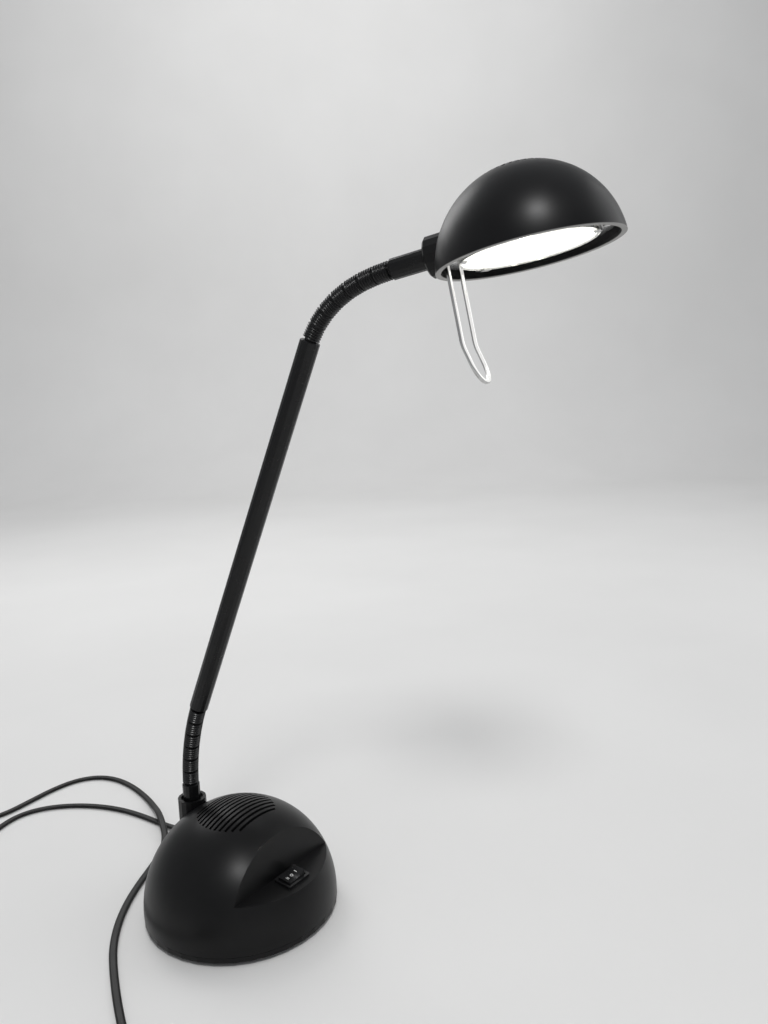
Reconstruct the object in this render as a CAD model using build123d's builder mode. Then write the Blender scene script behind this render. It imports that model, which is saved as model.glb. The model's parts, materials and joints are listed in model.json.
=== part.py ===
"""Desk lamp: a half-round base that houses a transformer, two goosenecks with a tube between them, and a
half-round shade with a halogen capsule. Millimetres, +Z up, origin at the centre of the base on the table,
switch towards -Y."""

import os
from math import asin, cos, hypot, radians, sin, sqrt, tan

from build123d import *

os.makedirs("parts", exist_ok=True)

# Fits that several pieces share
overrun = 6.0  # how far a cut runs past what it cuts
fit_gap = 0.1  # round pieces that are pushed together
running_gap = 0.25  # pieces that turn in each other
outer_bands = 7  # rows of flat faces that make up the outside of a dome
inner_bands = 3  # rows of flat faces that make up the inside of a dome
outer_sides = 36  # sides of a dome at its foot, and of what lines up with it
inner_sides = 18  # sides of a dome's hollow at its foot
side_share = 0.17  # least width of a dome's face, as a share of the dome's radius
turned_sides = 16  # sides of small turned pieces
stud_sides = 6  # sides of screws, posts and their holes

# Base shell: a short straight skirt and a half-round dome
base_radius = 70.0
seam_height = 7.5
skirt_height = 2.0
base_wall = 2.5
base_vent_count = 12
base_vent_pitch = 3.9
base_vent_width = 1.9
base_vent_patch = 28.0
post_inset = 14.0  # from the skirt to the middle of a post
post_radius = 3.6

# Notch for the switch: a steep wall and a shallow ledge that meet in a straight crease
crease_inset = 27.6  # from the skirt back to the crease
crease_height = 39.0
notch_wall_lean = 7.0
ledge_fall = 5.0

# Base plate, pad and screws
plate_foot_height = 1.5
plate_edge_height = 3.8
plate_floor = 3.0
plate_bevel = 6.0
plate_rim = 4.0
plate_cup_depth = 3.0
seam_gap = 0.3
pad_inset = 22.0
base_screw_radius = 1.5
base_screw_head_radius = 3.0
base_screw_head_height = 1.4
base_screw_length = 16.0

# Socket that holds the lower gooseneck at the rear of the base
socket_inset = 22.5  # from the skirt to the middle of the socket
socket_rise = 11.3  # above the dome at the socket's middle
socket_sink = 8.9  # seat below the dome
socket_radius = 10.5
socket_lip_depth = 2.0
socket_lip_wall = 2.2
socket_stem_radius = 7.6
socket_stem_length = 16.0
socket_boss_radius = 13.5
socket_boss_height = 8.0
nut_height = 5.0
nut_radius = 10.4

# Rocker switch with three positions, on the ledge
switch_stand = 9.1  # from the crease to the middle of the switch
bezel_length = 21.0
bezel_width = 15.0
bezel_height = 1.8
bezel_corner = 1.0
switch_length = 18.8
switch_width = 12.6
switch_depth = 15.0
rocker_opening_length = 17.0
rocker_opening_width = 11.0
rocker_well = 6.0
rocker_length = 15.0
rocker_width = 10.4
rocker_base_drop = 2.0
rocker_end_rise = 4.6
rocker_middle_rise = 2.9
rocker_pivot_drop = 0.8
rocker_pin_radius = 1.0
rocker_pin_length = 0.6
rocker_tilt = 10.0
blade_width = 4.8
blade_thickness = 0.8
blade_length = 8.0
blade_pitch = 6.0

# Transformer with an EI core, bolted to the base plate
core_length = 57.0
core_width = 48.0
core_height = 25.0
core_limb = 19.0
core_yoke = 9.5
core_lift = 14.0
core_bolt_inset = 3.6
core_bolt_radius = 1.6
core_bolt_head_radius = 3.2
core_bolt_head_height = 2.2
core_bolt_grip = 7.0
core_post_radius = 3.4
bobbin_wall = 0.8
bobbin_gap = 0.2
winding_build = 7.6
winding_relief = 0.6
winding_corner = 3.0
secondary_share = 0.4

# Mains lead: flat twin flex, its bush, clamp and terminal block
cord_width = 5.5
cord_thickness = 3.3
outlet_turn = 20.0
outlet_height = 14.0
bush_length = 22.0
bush_root_width = 12.0
bush_root_height = 9.0
bush_tip_width = 8.0
bush_tip_height = 5.6
bush_flange = 1.6
bush_flange_thickness = 1.6
bush_seat = 6.5
bush_hold = 6.0
lead_exit_run = 4.0
lead_inside_length = 26.0
clamp_reach = 14.0
clamp_length = 20.0
clamp_width = 7.0
clamp_thickness = 3.0
clamp_post_radius = 2.6
clamp_screw_radius = 1.2
clamp_screw_head_radius = 2.4
clamp_screw_head_height = 1.5
clamp_screw_grip = 6.0
block_length = 22.0
block_width = 10.0
block_height = 9.0
block_corner = 1.0

# Goosenecks: chains of ribbed links that seat in each other like balls in sockets
neck_radius = 6.0
groove_depth = 1.0
rib_pitch = 3.4
link_ribs = 3
groove_half = 1.0
groove_floor_half = 0.72
neck_sides = 8
ball_radius = 4.3
ball_angles = (-16.0, 14.0, 52.0)
socket_room = 0.45
socket_angles = (4.0, 34.0)
socket_depth = 4.6
socket_throat = 2.3
neck_bore = 2.2
lower_links = 6
upper_links = 7
ferrule_radius = 6.5
lower_ferrule_rise = 12.3
ferrule_seat_depth = 17.0

# Pose in which the arm stands: the way it turns from the front, and how far each neck is bent
arm_turn = 11.5
lower_bend = 22.8
upper_bend = 56.7
lower_bend_shares = (0.142, 0.143, 0.143, 0.144, 0.143, 0.143, 0.142)
upper_bend_shares = (0.15, 0.16, 0.16, 0.15, 0.14, 0.11, 0.08, 0.05)

# Tube between the necks
arm_span = 284.6
tube_radius = 6.8
tube_wall = 0.9
tube_collar = 3.0
tube_plug_depth = 14.0

# Ferrule and saddle that carry the shade
upper_ferrule_length = 25.6
upper_ferrule_radius = 6.6
ferrule_bevel = 0.6
saddle_radius = 12.5
saddle_reach = 58.8
saddle_height = 14.3
saddle_corner = 1.2
stem_radius = 4.8
stem_length = 17.6
saddle_nut_height = 4.0
saddle_nut_radius = 7.4
saddle_pad_reach = 14.9

# Shade
shade_radius = 54.0
shade_height = 50.0
shade_wall = 2.0
rim_lip = 3.2
rim_lip_height = 2.4
shade_vent_count = 11
shade_vent_pitch = 3.7
shade_vent_width = 1.7
shade_vent_patch = 22.5

# Reflector, front glass and what holds them
reflector_rise = 5.5
reflector_sheet = 0.8
reflector_radius = 49.5
bowl_radius = 38.5
bowl_depth = 23.0
bowl_shares = ((1.0, 0.0), (0.94, 0.34), (0.77, 0.73), (0.45, 1.0))  # of its radius and its depth
reflector_sides = 24
bowl_hole = 6.5
glass_radius = 40.0
glass_thickness = 3.0
fixing_circle = 44.5
fixing_angles = (0.0, 147.0, 213.0)
fixing_post_radius = 3.0
fixing_screw_radius = 1.2
fixing_head_radius = 2.6
fixing_head_height = 1.6
fixing_screw_grip = 7.0
clip_width = 6.0
clip_sheet = 0.6
clip_toe = 3.4
clip_heel = 3.0

# Capsule lamp and its holder
holder_flange_radius = 15.0
holder_flange_height = 2.0
holder_length = 16.0
holder_width = 11.0
holder_height = 10.0
holder_screw_offset = 12.0
holder_screw_radius = 1.0
holder_screw_head_radius = 2.0
holder_screw_head_height = 1.2
pin_pitch = 4.0
pin_radius = 0.35
pin_length = 7.0
pin_room = 0.15
pinch_width = 8.0
pinch_thickness = 3.6
pinch_height = 6.0
envelope_radius = 4.7
envelope_length = 13.0
envelope_angles = (-75.0, -45.0, -18.0, 0.0)
envelope_sides = 12
filament_radius = 0.5
filament_length = 5.0
filament_drop = 9.0

# Wire handle below the shade
handle_wire_radius = 1.4
handle_spread = 24.0
handle_inset = 45.0
handle_straight = 41.0
handle_drop = 64.0
handle_lean = 15.0
handle_kink_radius = 26.0
handle_tip_radius = 11.5
handle_post_radius = 3.0
handle_grip = 5.0

# Lead on the table: places chosen by hand, from inside the bush to the coil
lead_route = (
    (36.5, 100.6, 11.8),
    (39.8, 113.0, 7.4),
    (41.8, 127.5, 3.4),
    (42.6, 145.0, 1.9),
    (42.6, 166.0, 1.9),
    (40.4, 190.0, 1.9),
    (34.0, 214.0, 1.9),
    (22.0, 238.0, 1.9),
    (4.0, 258.0, 1.9),
    (-17.0, 266.5, 1.9),
    (-41.0, 261.0, 1.9),
    (-67.0, 247.0, 1.9),
    (-96.0, 245.0, 1.9),
    (-118.0, 261.0, 1.9),
    (-119.0, 288.0, 1.9),
    (-98.0, 305.0, 1.9),
    (-71.0, 302.0, 1.9),
    (-46.0, 288.0, 1.9),
    (-23.0, 279.5, 1.9),
    (3.0, 281.5, 1.9),
    (28.0, 284.0, 1.9),
    (52.0, 281.5, 1.9),
    (69.0, 269.0, 1.9),
    (76.0, 248.0, 1.9),
    (74.0, 220.0, 1.9),
    (66.0, 190.0, 2.1),
    (56.0, 167.0, 4.2),
    (47.5, 151.0, 7.6),
    (37.5, 134.0, 7.6),
    (28.0, 119.0, 4.2),
    (14.0, 106.5, 2.1),
    (-5.0, 96.0, 1.9),
    (-27.0, 85.0, 1.9),
    (-48.0, 72.5, 1.9),
    (-68.0, 57.0, 1.9),
    (-86.0, 38.5, 1.9),
    (-100.0, 19.0, 1.9),
    (-113.0, -1.0, 1.9),
    (-125.0, -21.0, 1.9),
    (-136.0, -41.0, 2.7),
    (-146.2, -59.4, 2.7),
)
arc_share = 0.45
square_shares = ((1, 1), (-1, 1), (-1, -1), (1, -1))  # corners of a rectangle, in its half sides

# Coil of the spare length, its tie and the plug
coil_heading = 241.0
coil_radius = 33.0
coil_pitch = 6.1
coil_layer = 3.9
coil_steps = (0, 1, 2, 3, 4, 2, 1, 0, -1)  # half pitches inward, one place per half turn
coil_climb = 4  # the place where the upper layer starts
coil_end_run = 6.0
coil_tail = 42.0
climb_steps = 12
coil_sample_pitch = 1.5
coil_skip = 40.0  # length of flex that doesn't count as another turn
tie_width = 9.0
tie_sheet = 0.5
tie_room = 1.6
tie_lift = 0.15
plug_boot_length = 12.0
plug_boot_width = 9.0
plug_length = 34.0
plug_width = 26.0
plug_nose_width = 30.0
plug_thickness = 12.0
plug_shoulder = 9.0
plug_boot_thickness = 7.6
plug_corner = 1.5
plug_pin_root = 8.0
plug_pin_pitch = 18.6
plug_pin_radius = 2.0
plug_pin_length = 19.0


def keep(piece, name):
    """Labels a finished piece and writes it to its own file."""
    piece.part.label = name
    export_step(piece.part, f"parts/{name}.step")


def section_of(frame):
    """Plane through a frame's axis: x runs outward, y along the axis."""
    return Plane(frame.origin, x_dir=frame.x_dir, z_dir=-frame.y_dir)


def turned(frame, about, angle):
    """The frame turned in place about a direction, in degrees."""
    spin = Axis(frame.origin, about)
    return Plane(frame.origin, x_dir=frame.x_dir.rotate(spin, angle), z_dir=frame.z_dir.rotate(spin, angle))


def outline(plane, *points):
    """Flat face inside straight lines through the points."""
    with BuildSketch(plane) as flat:
        with BuildLine():
            Polyline(*points, close=True)
        make_face()
    return flat.sketch


def studs(plane, radius, *places):
    """Small many-sided discs at places on a plane, for screws, posts and their holes."""
    with BuildSketch(plane) as discs:
        with Locations(*places):
            RegularPolygon(radius, side_count=stud_sides)
    return discs.sketch


def stacked(rings, twisted=False):
    """Flat-faced solid through rings of points, where a ring may have half as many as the last, or one."""
    corners = [ring for ring in (rings[0], rings[-1]) if len(ring) > 1]
    for near, far in zip(rings, rings[1:]):
        step = len(near) // len(far)
        for side in range(len(near)):
            if len(far) == 1:
                corners.append([near[side - 1], near[side], far[0]])
            elif step == 1 and twisted:
                corners.append([near[side - 1], near[side], far[side]])
                corners.append([near[side - 1], far[side], far[side - 1]])
            elif step == 1:
                corners.append([near[side - 1], near[side], far[side], far[side - 1]])
            elif side % 2:
                corners.append([near[side - 1], near[side], far[side // 2]])
            else:
                corners.append([near[side - 1], near[side], far[side // 2]])
                corners.append([near[side - 1], far[side // 2], far[side // 2 - 1]])
    return Solid(Shell([Face(Wire.make_polygon(points)) for points in corners]))


def ring_at(frame, reach, radius, sides):
    """Points round a frame's axis, or the one point on it."""
    turns = [radians(360 * side / sides) for side in range(sides if radius > 0 else 1)]
    return [frame.from_local_coords((radius * cos(turn), radius * sin(turn), reach)) for turn in turns]


def barrel(frame, stations, sides):
    """Many-sided solid along a frame's axis, from its radius at each station."""
    return stacked([ring_at(frame, reach, radius, sides) for reach, radius in stations])


def dome(frame, foot_stations, points, sides):
    """Flat-faced dome: stations at its foot, then rings that lose every second side where they get small."""
    rings = [ring_at(frame, reach, radius, sides) for reach, radius in foot_stations]
    least = side_share * points[0][0] / 2
    for radius, reach in points[:-1]:
        if radius * radians(360 / sides) < least:
            sides = sides // 2
        rings.append(ring_at(frame, reach, radius, sides))
    return stacked(rings + [[frame.from_local_coords((0, 0, points[-1][1]))]])


def band_points(radius, centre, bands, foot):
    """Points on a circle about the axis, evenly from a height on its side to its top."""
    start = asin((foot - centre) / radius)
    turns = [start + (radians(90) - start) * step / bands for step in range(bands + 1)]
    return [(radius * cos(turn), centre + radius * sin(turn)) for turn in turns]


def on_circle(radius, angles):
    """Places at angles, in degrees, on a circle about the origin."""
    return [(radius * cos(radians(angle)), radius * sin(radians(angle))) for angle in angles]


# Base

dome_centre = seam_height + skirt_height
cavity_radius = base_radius - base_wall
base_posts = on_circle(base_radius - post_inset, (45.0, 135.0, 225.0, 315.0))
pad_radius = base_radius - pad_inset
crease_front = base_radius - crease_inset
switch_front = crease_front + switch_stand
socket_back = base_radius - socket_inset
socket_dome = dome_centre + sqrt(base_radius**2 - socket_back**2)
socket_top = socket_dome + socket_rise
socket_seat = socket_dome - socket_sink
# The core stands half-way between the wall of the notch and the boss of the socket
core_back = (socket_back - socket_boss_radius - crease_front + base_wall) / 2
ledge_slope = tan(radians(ledge_fall))
wall_slope = tan(radians(notch_wall_lean))


def notch_outline(grow):
    """Side view of the notch, moved into the base by a wall."""
    crease = (-crease_front + grow, crease_height - grow)
    rise = base_radius + overrun
    front = -base_radius - overrun
    return (
        crease,
        (crease[0] + rise * wall_slope, crease[1] + rise),
        (front, crease[1] + rise),
        (front, crease[1] + (front - crease[0]) * ledge_slope),
    )


switch_plane = Plane(
    (0, -switch_front, crease_height - (switch_front - crease_front) * ledge_slope),
    x_dir=(1, 0, 0),
    z_dir=(0, -sin(radians(ledge_fall)), cos(radians(ledge_fall))),
)
outlet_frame = turned(Plane.XY, (0, 0, 1), -outlet_turn)
outlet_plane = Plane(
    outlet_frame.from_local_coords((0, base_radius, outlet_height)),
    x_dir=outlet_frame.x_dir,
    z_dir=outlet_frame.y_dir,
)

socket_frame = Plane((0, socket_back, 0), x_dir=(1, 0, 0), z_dir=(0, 0, 1))

with BuildPart() as base_cavity:
    hollow = band_points(cavity_radius, dome_centre, inner_bands, dome_centre)
    add(dome(Plane.XY, [(-overrun, cavity_radius)], hollow, inner_sides))
    extrude(outline(Plane.YZ, *notch_outline(base_wall)), amount=base_radius, both=True, mode=Mode.SUBTRACT)
    post_feet = studs(Plane.XY.offset(seam_height), post_radius, *base_posts)
    extrude(post_feet, amount=base_radius, mode=Mode.SUBTRACT)
    boss_foot = socket_seat - socket_boss_height
    boss = [(boss_foot, socket_boss_radius), (base_radius + overrun, socket_boss_radius)]
    add(barrel(socket_frame, boss, turned_sides), mode=Mode.SUBTRACT)

with BuildPart() as base_shell:
    crown = band_points(base_radius, dome_centre, outer_bands, dome_centre)
    add(dome(Plane.XY, [(seam_height, base_radius)], crown, outer_sides))
    extrude(outline(Plane.YZ, *notch_outline(0)), amount=base_radius, both=True, mode=Mode.SUBTRACT)
    add(base_cavity.part, mode=Mode.SUBTRACT)
    # Vents: straight slots whose ends lie on a circle
    with BuildSketch(Plane.XY.offset(dome_centre + base_radius)):
        for step in range(base_vent_count):
            back = (step - (base_vent_count - 1) / 2) * base_vent_pitch
            with Locations((0, back)):
                Rectangle(2 * sqrt(base_vent_patch**2 - back**2), base_vent_width)
    extrude(amount=-base_radius / 2, mode=Mode.SUBTRACT)
    extrude(
        studs(Plane.XY.offset(seam_height), base_screw_radius - fit_gap, *base_posts),
        amount=base_screw_length,
        mode=Mode.SUBTRACT,
    )
    stem_room = socket_stem_radius + fit_gap
    cup_room = socket_radius + fit_gap
    for low, high, room in (
        (seam_height, socket_seat, stem_room),
        (socket_seat, base_radius + overrun, cup_room),
    ):
        add(barrel(socket_frame, [(low, room), (high, room)], turned_sides), mode=Mode.SUBTRACT)
    with BuildSketch(switch_plane):
        Rectangle(switch_length + 2 * fit_gap, switch_width + 2 * fit_gap)
    extrude(amount=overrun, both=True, mode=Mode.SUBTRACT)
    with BuildSketch(outlet_plane):
        Rectangle(bush_root_width + 2 * fit_gap, bush_root_height + 2 * fit_gap)
    extrude(amount=2 * overrun, both=True, mode=Mode.SUBTRACT)
keep(base_shell, "base_shell")

# Base plate with its locating lip, posts for the transformer and holes for the screws

plate_top = plate_foot_height + plate_floor
plate_post_top = seam_height + plate_cup_depth
core_bolts_at = [
    (side * (core_length / 2 - core_bolt_inset), core_back + end * (core_width / 2 - core_bolt_inset))
    for side in (-1, 1)
    for end in (-1, 1)
]
clamp_bottom = outlet_height + cord_thickness / 2
clamp_centre = outlet_frame.from_local_coords((0, cavity_radius - clamp_reach, plate_top))
clamp_span = clamp_length / 2 - clamp_post_radius
clamp_aside = outlet_frame.x_dir * clamp_span
clamp_posts_at = [
    (clamp_centre.X + side * clamp_aside.X, clamp_centre.Y + side * clamp_aside.Y) for side in (-1, 1)
]

with BuildPart() as base_plate:
    edge = [
        (plate_foot_height, base_radius - plate_bevel),
        (plate_edge_height, base_radius),
        (seam_height - seam_gap, base_radius),
    ]
    tray = [(plate_top, base_radius - plate_rim), (seam_height, base_radius - plate_rim)]
    add(barrel(Plane.XY, edge, outer_sides))
    add(barrel(Plane.XY, tray, inner_sides), mode=Mode.SUBTRACT)
    for radius, places, top in (
        (post_radius + base_wall, base_posts, plate_post_top),
        (core_post_radius, core_bolts_at, core_lift),
        (clamp_post_radius, clamp_posts_at, clamp_bottom),
    ):
        extrude(studs(Plane.XY.offset(plate_top), radius, *places), amount=top - plate_top)
    with BuildSketch(Plane(clamp_centre, x_dir=outlet_frame.x_dir, z_dir=(0, 0, 1))):
        Rectangle(clamp_length - 2 * clamp_post_radius, clamp_width - clamp_thickness)
    extrude(amount=clamp_bottom - cord_thickness - plate_top)
    # The posts of the shell stand in cups, and a screw goes up through each
    extrude(
        studs(Plane.XY.offset(seam_height - seam_gap), post_radius + running_gap, *base_posts),
        amount=plate_post_top,
        mode=Mode.SUBTRACT,
    )
    for height, radius, places, depth in (
        (plate_post_top, base_screw_radius + fit_gap, base_posts, plate_post_top),
        (plate_foot_height + base_screw_head_height, base_screw_head_radius + fit_gap, base_posts, overrun),
        (core_lift, core_bolt_radius - fit_gap, core_bolts_at, core_bolt_grip),
        (clamp_bottom, clamp_screw_radius - fit_gap, clamp_posts_at, clamp_screw_grip),
    ):
        extrude(studs(Plane.XY.offset(height), radius, *places), amount=-depth, mode=Mode.SUBTRACT)
keep(base_plate, "base_plate")

with BuildPart() as foot_pad:
    add(barrel(Plane.XY, [(0, pad_radius), (plate_foot_height, pad_radius)], outer_sides))
keep(foot_pad, "foot_pad")


def screws(frame, places, shank, length, head, head_height):
    """Pan-headed screws: heads above the frame's plane, shanks below it."""
    with BuildPart() as group:
        extrude(studs(frame, head, *places), amount=head_height)
        extrude(studs(frame, shank, *places), amount=-length)
    return group


keep(
    screws(
        turned(Plane.XY.offset(plate_foot_height + base_screw_head_height), (1, 0, 0), 180),
        base_posts,
        base_screw_radius - 2 * fit_gap,
        base_screw_length,
        base_screw_head_radius,
        base_screw_head_height,
    ),
    "base_screws",
)

# Socket for the lower gooseneck, and its nut

# The ferrule is turned with the arm, so its corners stand against flats of the bore
socket_bore = (ferrule_radius + fit_gap) / cos(radians(180 / turned_sides))
ferrule_top = socket_top - socket_lip_depth
ferrule_bottom = ferrule_top - ferrule_seat_depth
wire_hole = socket_bore - socket_lip_wall

with BuildPart() as neck_socket:
    stem_end = socket_seat - socket_stem_length
    for low, high, radius in (
        (stem_end, socket_seat, socket_stem_radius),
        (socket_seat, socket_top, socket_radius),
    ):
        add(barrel(socket_frame, [(low, radius), (high, radius)], turned_sides))
    for height, radius in (
        (socket_top - socket_lip_depth, socket_radius - socket_lip_wall),
        (ferrule_bottom, socket_bore),
        (stem_end - overrun, wire_hole),
    ):
        add(barrel(socket_frame, [(height, radius), (socket_top, radius)], turned_sides), mode=Mode.SUBTRACT)
keep(neck_socket, "neck_socket")

with BuildPart() as socket_nut:
    with BuildSketch(socket_frame.offset(socket_seat - socket_boss_height)):
        RegularPolygon(nut_radius, side_count=6)
        RegularPolygon(socket_stem_radius + fit_gap, side_count=turned_sides, mode=Mode.SUBTRACT)
    extrude(amount=-nut_height)
keep(socket_nut, "socket_nut")

# Rocker switch

rocker_plane = turned(switch_plane.offset(-rocker_pivot_drop), switch_plane.y_dir, -rocker_tilt)

with BuildPart() as switch_body:
    with BuildSketch(switch_plane) as bezel:
        Rectangle(bezel_length, bezel_width)
        chamfer(bezel.vertices(), length=bezel_corner)
    extrude(amount=bezel_height)
    with BuildSketch(switch_plane):
        Rectangle(switch_length, switch_width)
    extrude(amount=-switch_depth)
    with BuildSketch(switch_plane.offset(bezel_height)):
        Rectangle(rocker_opening_length, rocker_opening_width)
    extrude(amount=-rocker_well, mode=Mode.SUBTRACT)
    extrude(
        studs(section_of(switch_plane), rocker_pin_radius + running_gap, (0, -rocker_pivot_drop)),
        amount=rocker_width / 2 + rocker_pin_length + fit_gap,
        both=True,
        mode=Mode.SUBTRACT,
    )
keep(switch_body, "switch_body")

with BuildPart() as rocker:
    with BuildSketch(section_of(rocker_plane)):
        with BuildLine():
            end = rocker_end_rise + rocker_pivot_drop
            low = rocker_pivot_drop - rocker_base_drop
            half = rocker_length / 2
            Polyline((-half, end), (-half, low), (half, low), (half, end))
            ThreePointArc((half, end), (0, rocker_middle_rise + rocker_pivot_drop), (-half, end))
        make_face()
    extrude(amount=rocker_width / 2, both=True)
    extrude(
        studs(section_of(rocker_plane), rocker_pin_radius, (0, 0)),
        amount=rocker_width / 2 + rocker_pin_length,
        both=True,
    )
keep(rocker, "rocker")

with BuildPart() as switch_terminals:
    with BuildSketch(switch_plane.offset(-switch_depth)):
        with GridLocations(blade_pitch, 0, 3, 1):
            Rectangle(blade_thickness, blade_width)
    extrude(amount=-blade_length)
keep(switch_terminals, "switch_terminals")

# Transformer: core, bobbin, two windings and the bolts that hold it down

core_middle = core_lift + core_height / 2
window_length = core_width - 2 * core_yoke
limb_plane = Plane((0, core_back, core_middle), x_dir=(1, 0, 0), z_dir=(0, -1, 0))
tube_inner_width = core_limb + 2 * bobbin_gap / 2
tube_inner_height = core_height + 2 * bobbin_gap / 2
bobbin_length = window_length - bobbin_gap
bobbin_outer_width = tube_inner_width + 2 * bobbin_wall
bobbin_outer_height = tube_inner_height + 2 * bobbin_wall

with BuildPart() as transformer_core:
    with BuildSketch(Plane.XY.offset(core_lift)):
        with Locations((0, core_back)):
            Rectangle(core_length, core_width)
            with GridLocations(core_limb + core_yoke, 0, 2, 1):
                Rectangle(core_yoke, window_length, mode=Mode.SUBTRACT)
        with Locations(*core_bolts_at):
            RegularPolygon(core_bolt_radius + fit_gap, side_count=stud_sides, mode=Mode.SUBTRACT)
    extrude(amount=core_height)
keep(transformer_core, "transformer_core")

with BuildPart() as transformer_bobbin:
    with BuildSketch(limb_plane):
        Rectangle(bobbin_outer_width, bobbin_outer_height)
    extrude(amount=bobbin_length / 2, both=True)
    for end in (-1, 1):
        with BuildSketch(limb_plane.offset(end * bobbin_length / 2)):
            Rectangle(bobbin_outer_width + 2 * winding_build, bobbin_outer_height + 2 * winding_build)
        extrude(amount=-end * bobbin_wall)
    with BuildSketch(limb_plane):
        Rectangle(tube_inner_width, tube_inner_height)
    extrude(amount=bobbin_length, both=True, mode=Mode.SUBTRACT)
keep(transformer_bobbin, "transformer_bobbin")

winding_room = bobbin_length - 2 * bobbin_wall
winding_start = -winding_room / 2
secondary_length = winding_room * secondary_share


def winding(start, length):
    """A wound block round the bobbin, a little below the edge of its flanges."""
    grown = 2 * (winding_build - winding_relief)
    with BuildPart() as wound:
        with BuildSketch(limb_plane.offset(start)) as turns:
            Rectangle(bobbin_outer_width + grown, bobbin_outer_height + grown)
            chamfer(turns.vertices(), length=winding_corner)
            Rectangle(bobbin_outer_width + fit_gap, bobbin_outer_height + fit_gap, mode=Mode.SUBTRACT)
        extrude(amount=length)
    return wound


keep(winding(winding_start + fit_gap, secondary_length - 2 * fit_gap), "secondary_winding")
keep(
    winding(winding_start + secondary_length + fit_gap, winding_room - secondary_length - 2 * fit_gap),
    "primary_winding",
)
keep(
    screws(
        Plane.XY.offset(core_lift + core_height),
        core_bolts_at,
        core_bolt_radius - 2 * fit_gap,
        core_height + core_bolt_grip - fit_gap,
        core_bolt_head_radius,
        core_bolt_head_height,
    ),
    "core_bolts",
)

# Bush, the lead inside the base, its clamp and the terminal block


def flex(plane, grow):
    """Flat twin flex, cut across."""
    wide = cord_width / 2 + grow
    thick = cord_thickness / 2 + grow
    return outline(plane, (wide, thick), (-wide, thick), (-wide, -thick), (wide, -thick))


with BuildPart() as cord_bush:
    with BuildSketch(outlet_plane.offset(-bush_seat)):
        Rectangle(bush_root_width + 2 * bush_flange, bush_root_height + 2 * bush_flange)
    extrude(amount=-bush_flange_thickness)
    with BuildSketch(outlet_plane.offset(-bush_seat)):
        Rectangle(bush_root_width, bush_root_height)
    extrude(amount=bush_seat + bush_flange)
    taper = (
        (bush_flange, bush_root_width / 2, bush_root_height / 2),
        (bush_length, bush_tip_width / 2, bush_tip_height / 2),
    )
    add(
        stacked(
            [
                [outlet_plane.from_local_coords((x * wide, y * high, reach)) for x, y in square_shares]
                for reach, wide, high in taper
            ]
        )
    )
    extrude(flex(outlet_plane, fit_gap), amount=bush_length + overrun, both=True, mode=Mode.SUBTRACT)
keep(cord_bush, "cord_bush")

lead_join = outlet_plane.offset(bush_length - bush_hold)

with BuildPart() as inner_lead:
    extrude(flex(lead_join, 0), amount=-lead_inside_length - bush_length + bush_hold)
keep(inner_lead, "inner_lead")

with BuildPart() as cord_clamp:
    clamp_at = (clamp_centre.X, clamp_centre.Y, clamp_bottom)
    with BuildSketch(Plane(clamp_at, x_dir=outlet_frame.x_dir, z_dir=(0, 0, 1))):
        Rectangle(clamp_length, clamp_width)
        with Locations((clamp_span, 0), (-clamp_span, 0)):
            RegularPolygon(clamp_screw_radius + fit_gap, side_count=stud_sides, mode=Mode.SUBTRACT)
    extrude(amount=clamp_thickness)
keep(cord_clamp, "cord_clamp")
keep(
    screws(
        Plane.XY.offset(clamp_bottom + clamp_thickness),
        clamp_posts_at,
        clamp_screw_radius - 2 * fit_gap,
        clamp_thickness + clamp_screw_grip - fit_gap,
        clamp_screw_head_radius,
        clamp_screw_head_height,
    ),
    "clamp_screws",
)

block_reach = base_radius - lead_inside_length - block_width / 2
block_centre = outlet_frame.from_local_coords((0, block_reach, plate_top))
with BuildPart() as terminal_block:
    with BuildSketch(Plane(block_centre, x_dir=outlet_frame.x_dir, z_dir=(0, 0, 1))) as block:
        Rectangle(block_length, block_width)
        chamfer(block.vertices(), length=block_corner)
    extrude(amount=block_height)
keep(terminal_block, "terminal_block")

# Goosenecks: every pivot has a frame with z along the piece above it and x the way the arm leans

link_length = link_ribs * rib_pitch
groove_radius = neck_radius - groove_depth
arm_start = Plane(
    (0, socket_back, socket_top + lower_ferrule_rise),
    x_dir=(sin(radians(arm_turn)), -cos(radians(arm_turn)), 0),
    z_dir=(0, 0, 1),
)


def bent_run(start, bend, shares):
    """Frames of the pivots in a neck: each leans by its share of the bend, one link after the last."""
    frames = []
    frame = start
    for share in shares:
        frame = turned(frame, frame.y_dir, bend * share)
        frames.append(frame)
        frame = frame.offset(link_length)
    return frames


lower_pivots = bent_run(arm_start, lower_bend, lower_bend_shares)
tube_frame = lower_pivots[-1]
upper_pivots = bent_run(tube_frame.offset(arm_span), upper_bend, upper_bend_shares)
ferrule_frame = upper_pivots[-1]


def round_stations(radius, angles):
    """Rings on a ball about the pivot."""
    return [(radius * sin(radians(angle)), radius * cos(radians(angle))) for angle in angles]


ball_stations = round_stations(ball_radius, ball_angles)
seat_stations = round_stations(ball_radius + socket_room, socket_angles) + [(socket_depth, socket_throat)]
near_stations = [(groove_floor_half, groove_radius), (groove_half, neck_radius)]
rib_stations = list(near_stations)
for rib in range(1, link_ribs):
    rib_stations += [
        (rib * rib_pitch - groove_half, neck_radius),
        (rib * rib_pitch, groove_radius),
        (rib * rib_pitch + groove_half, neck_radius),
    ]
rib_stations += [(link_length - groove_half, neck_radius), (link_length - groove_floor_half, groove_radius)]


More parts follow.
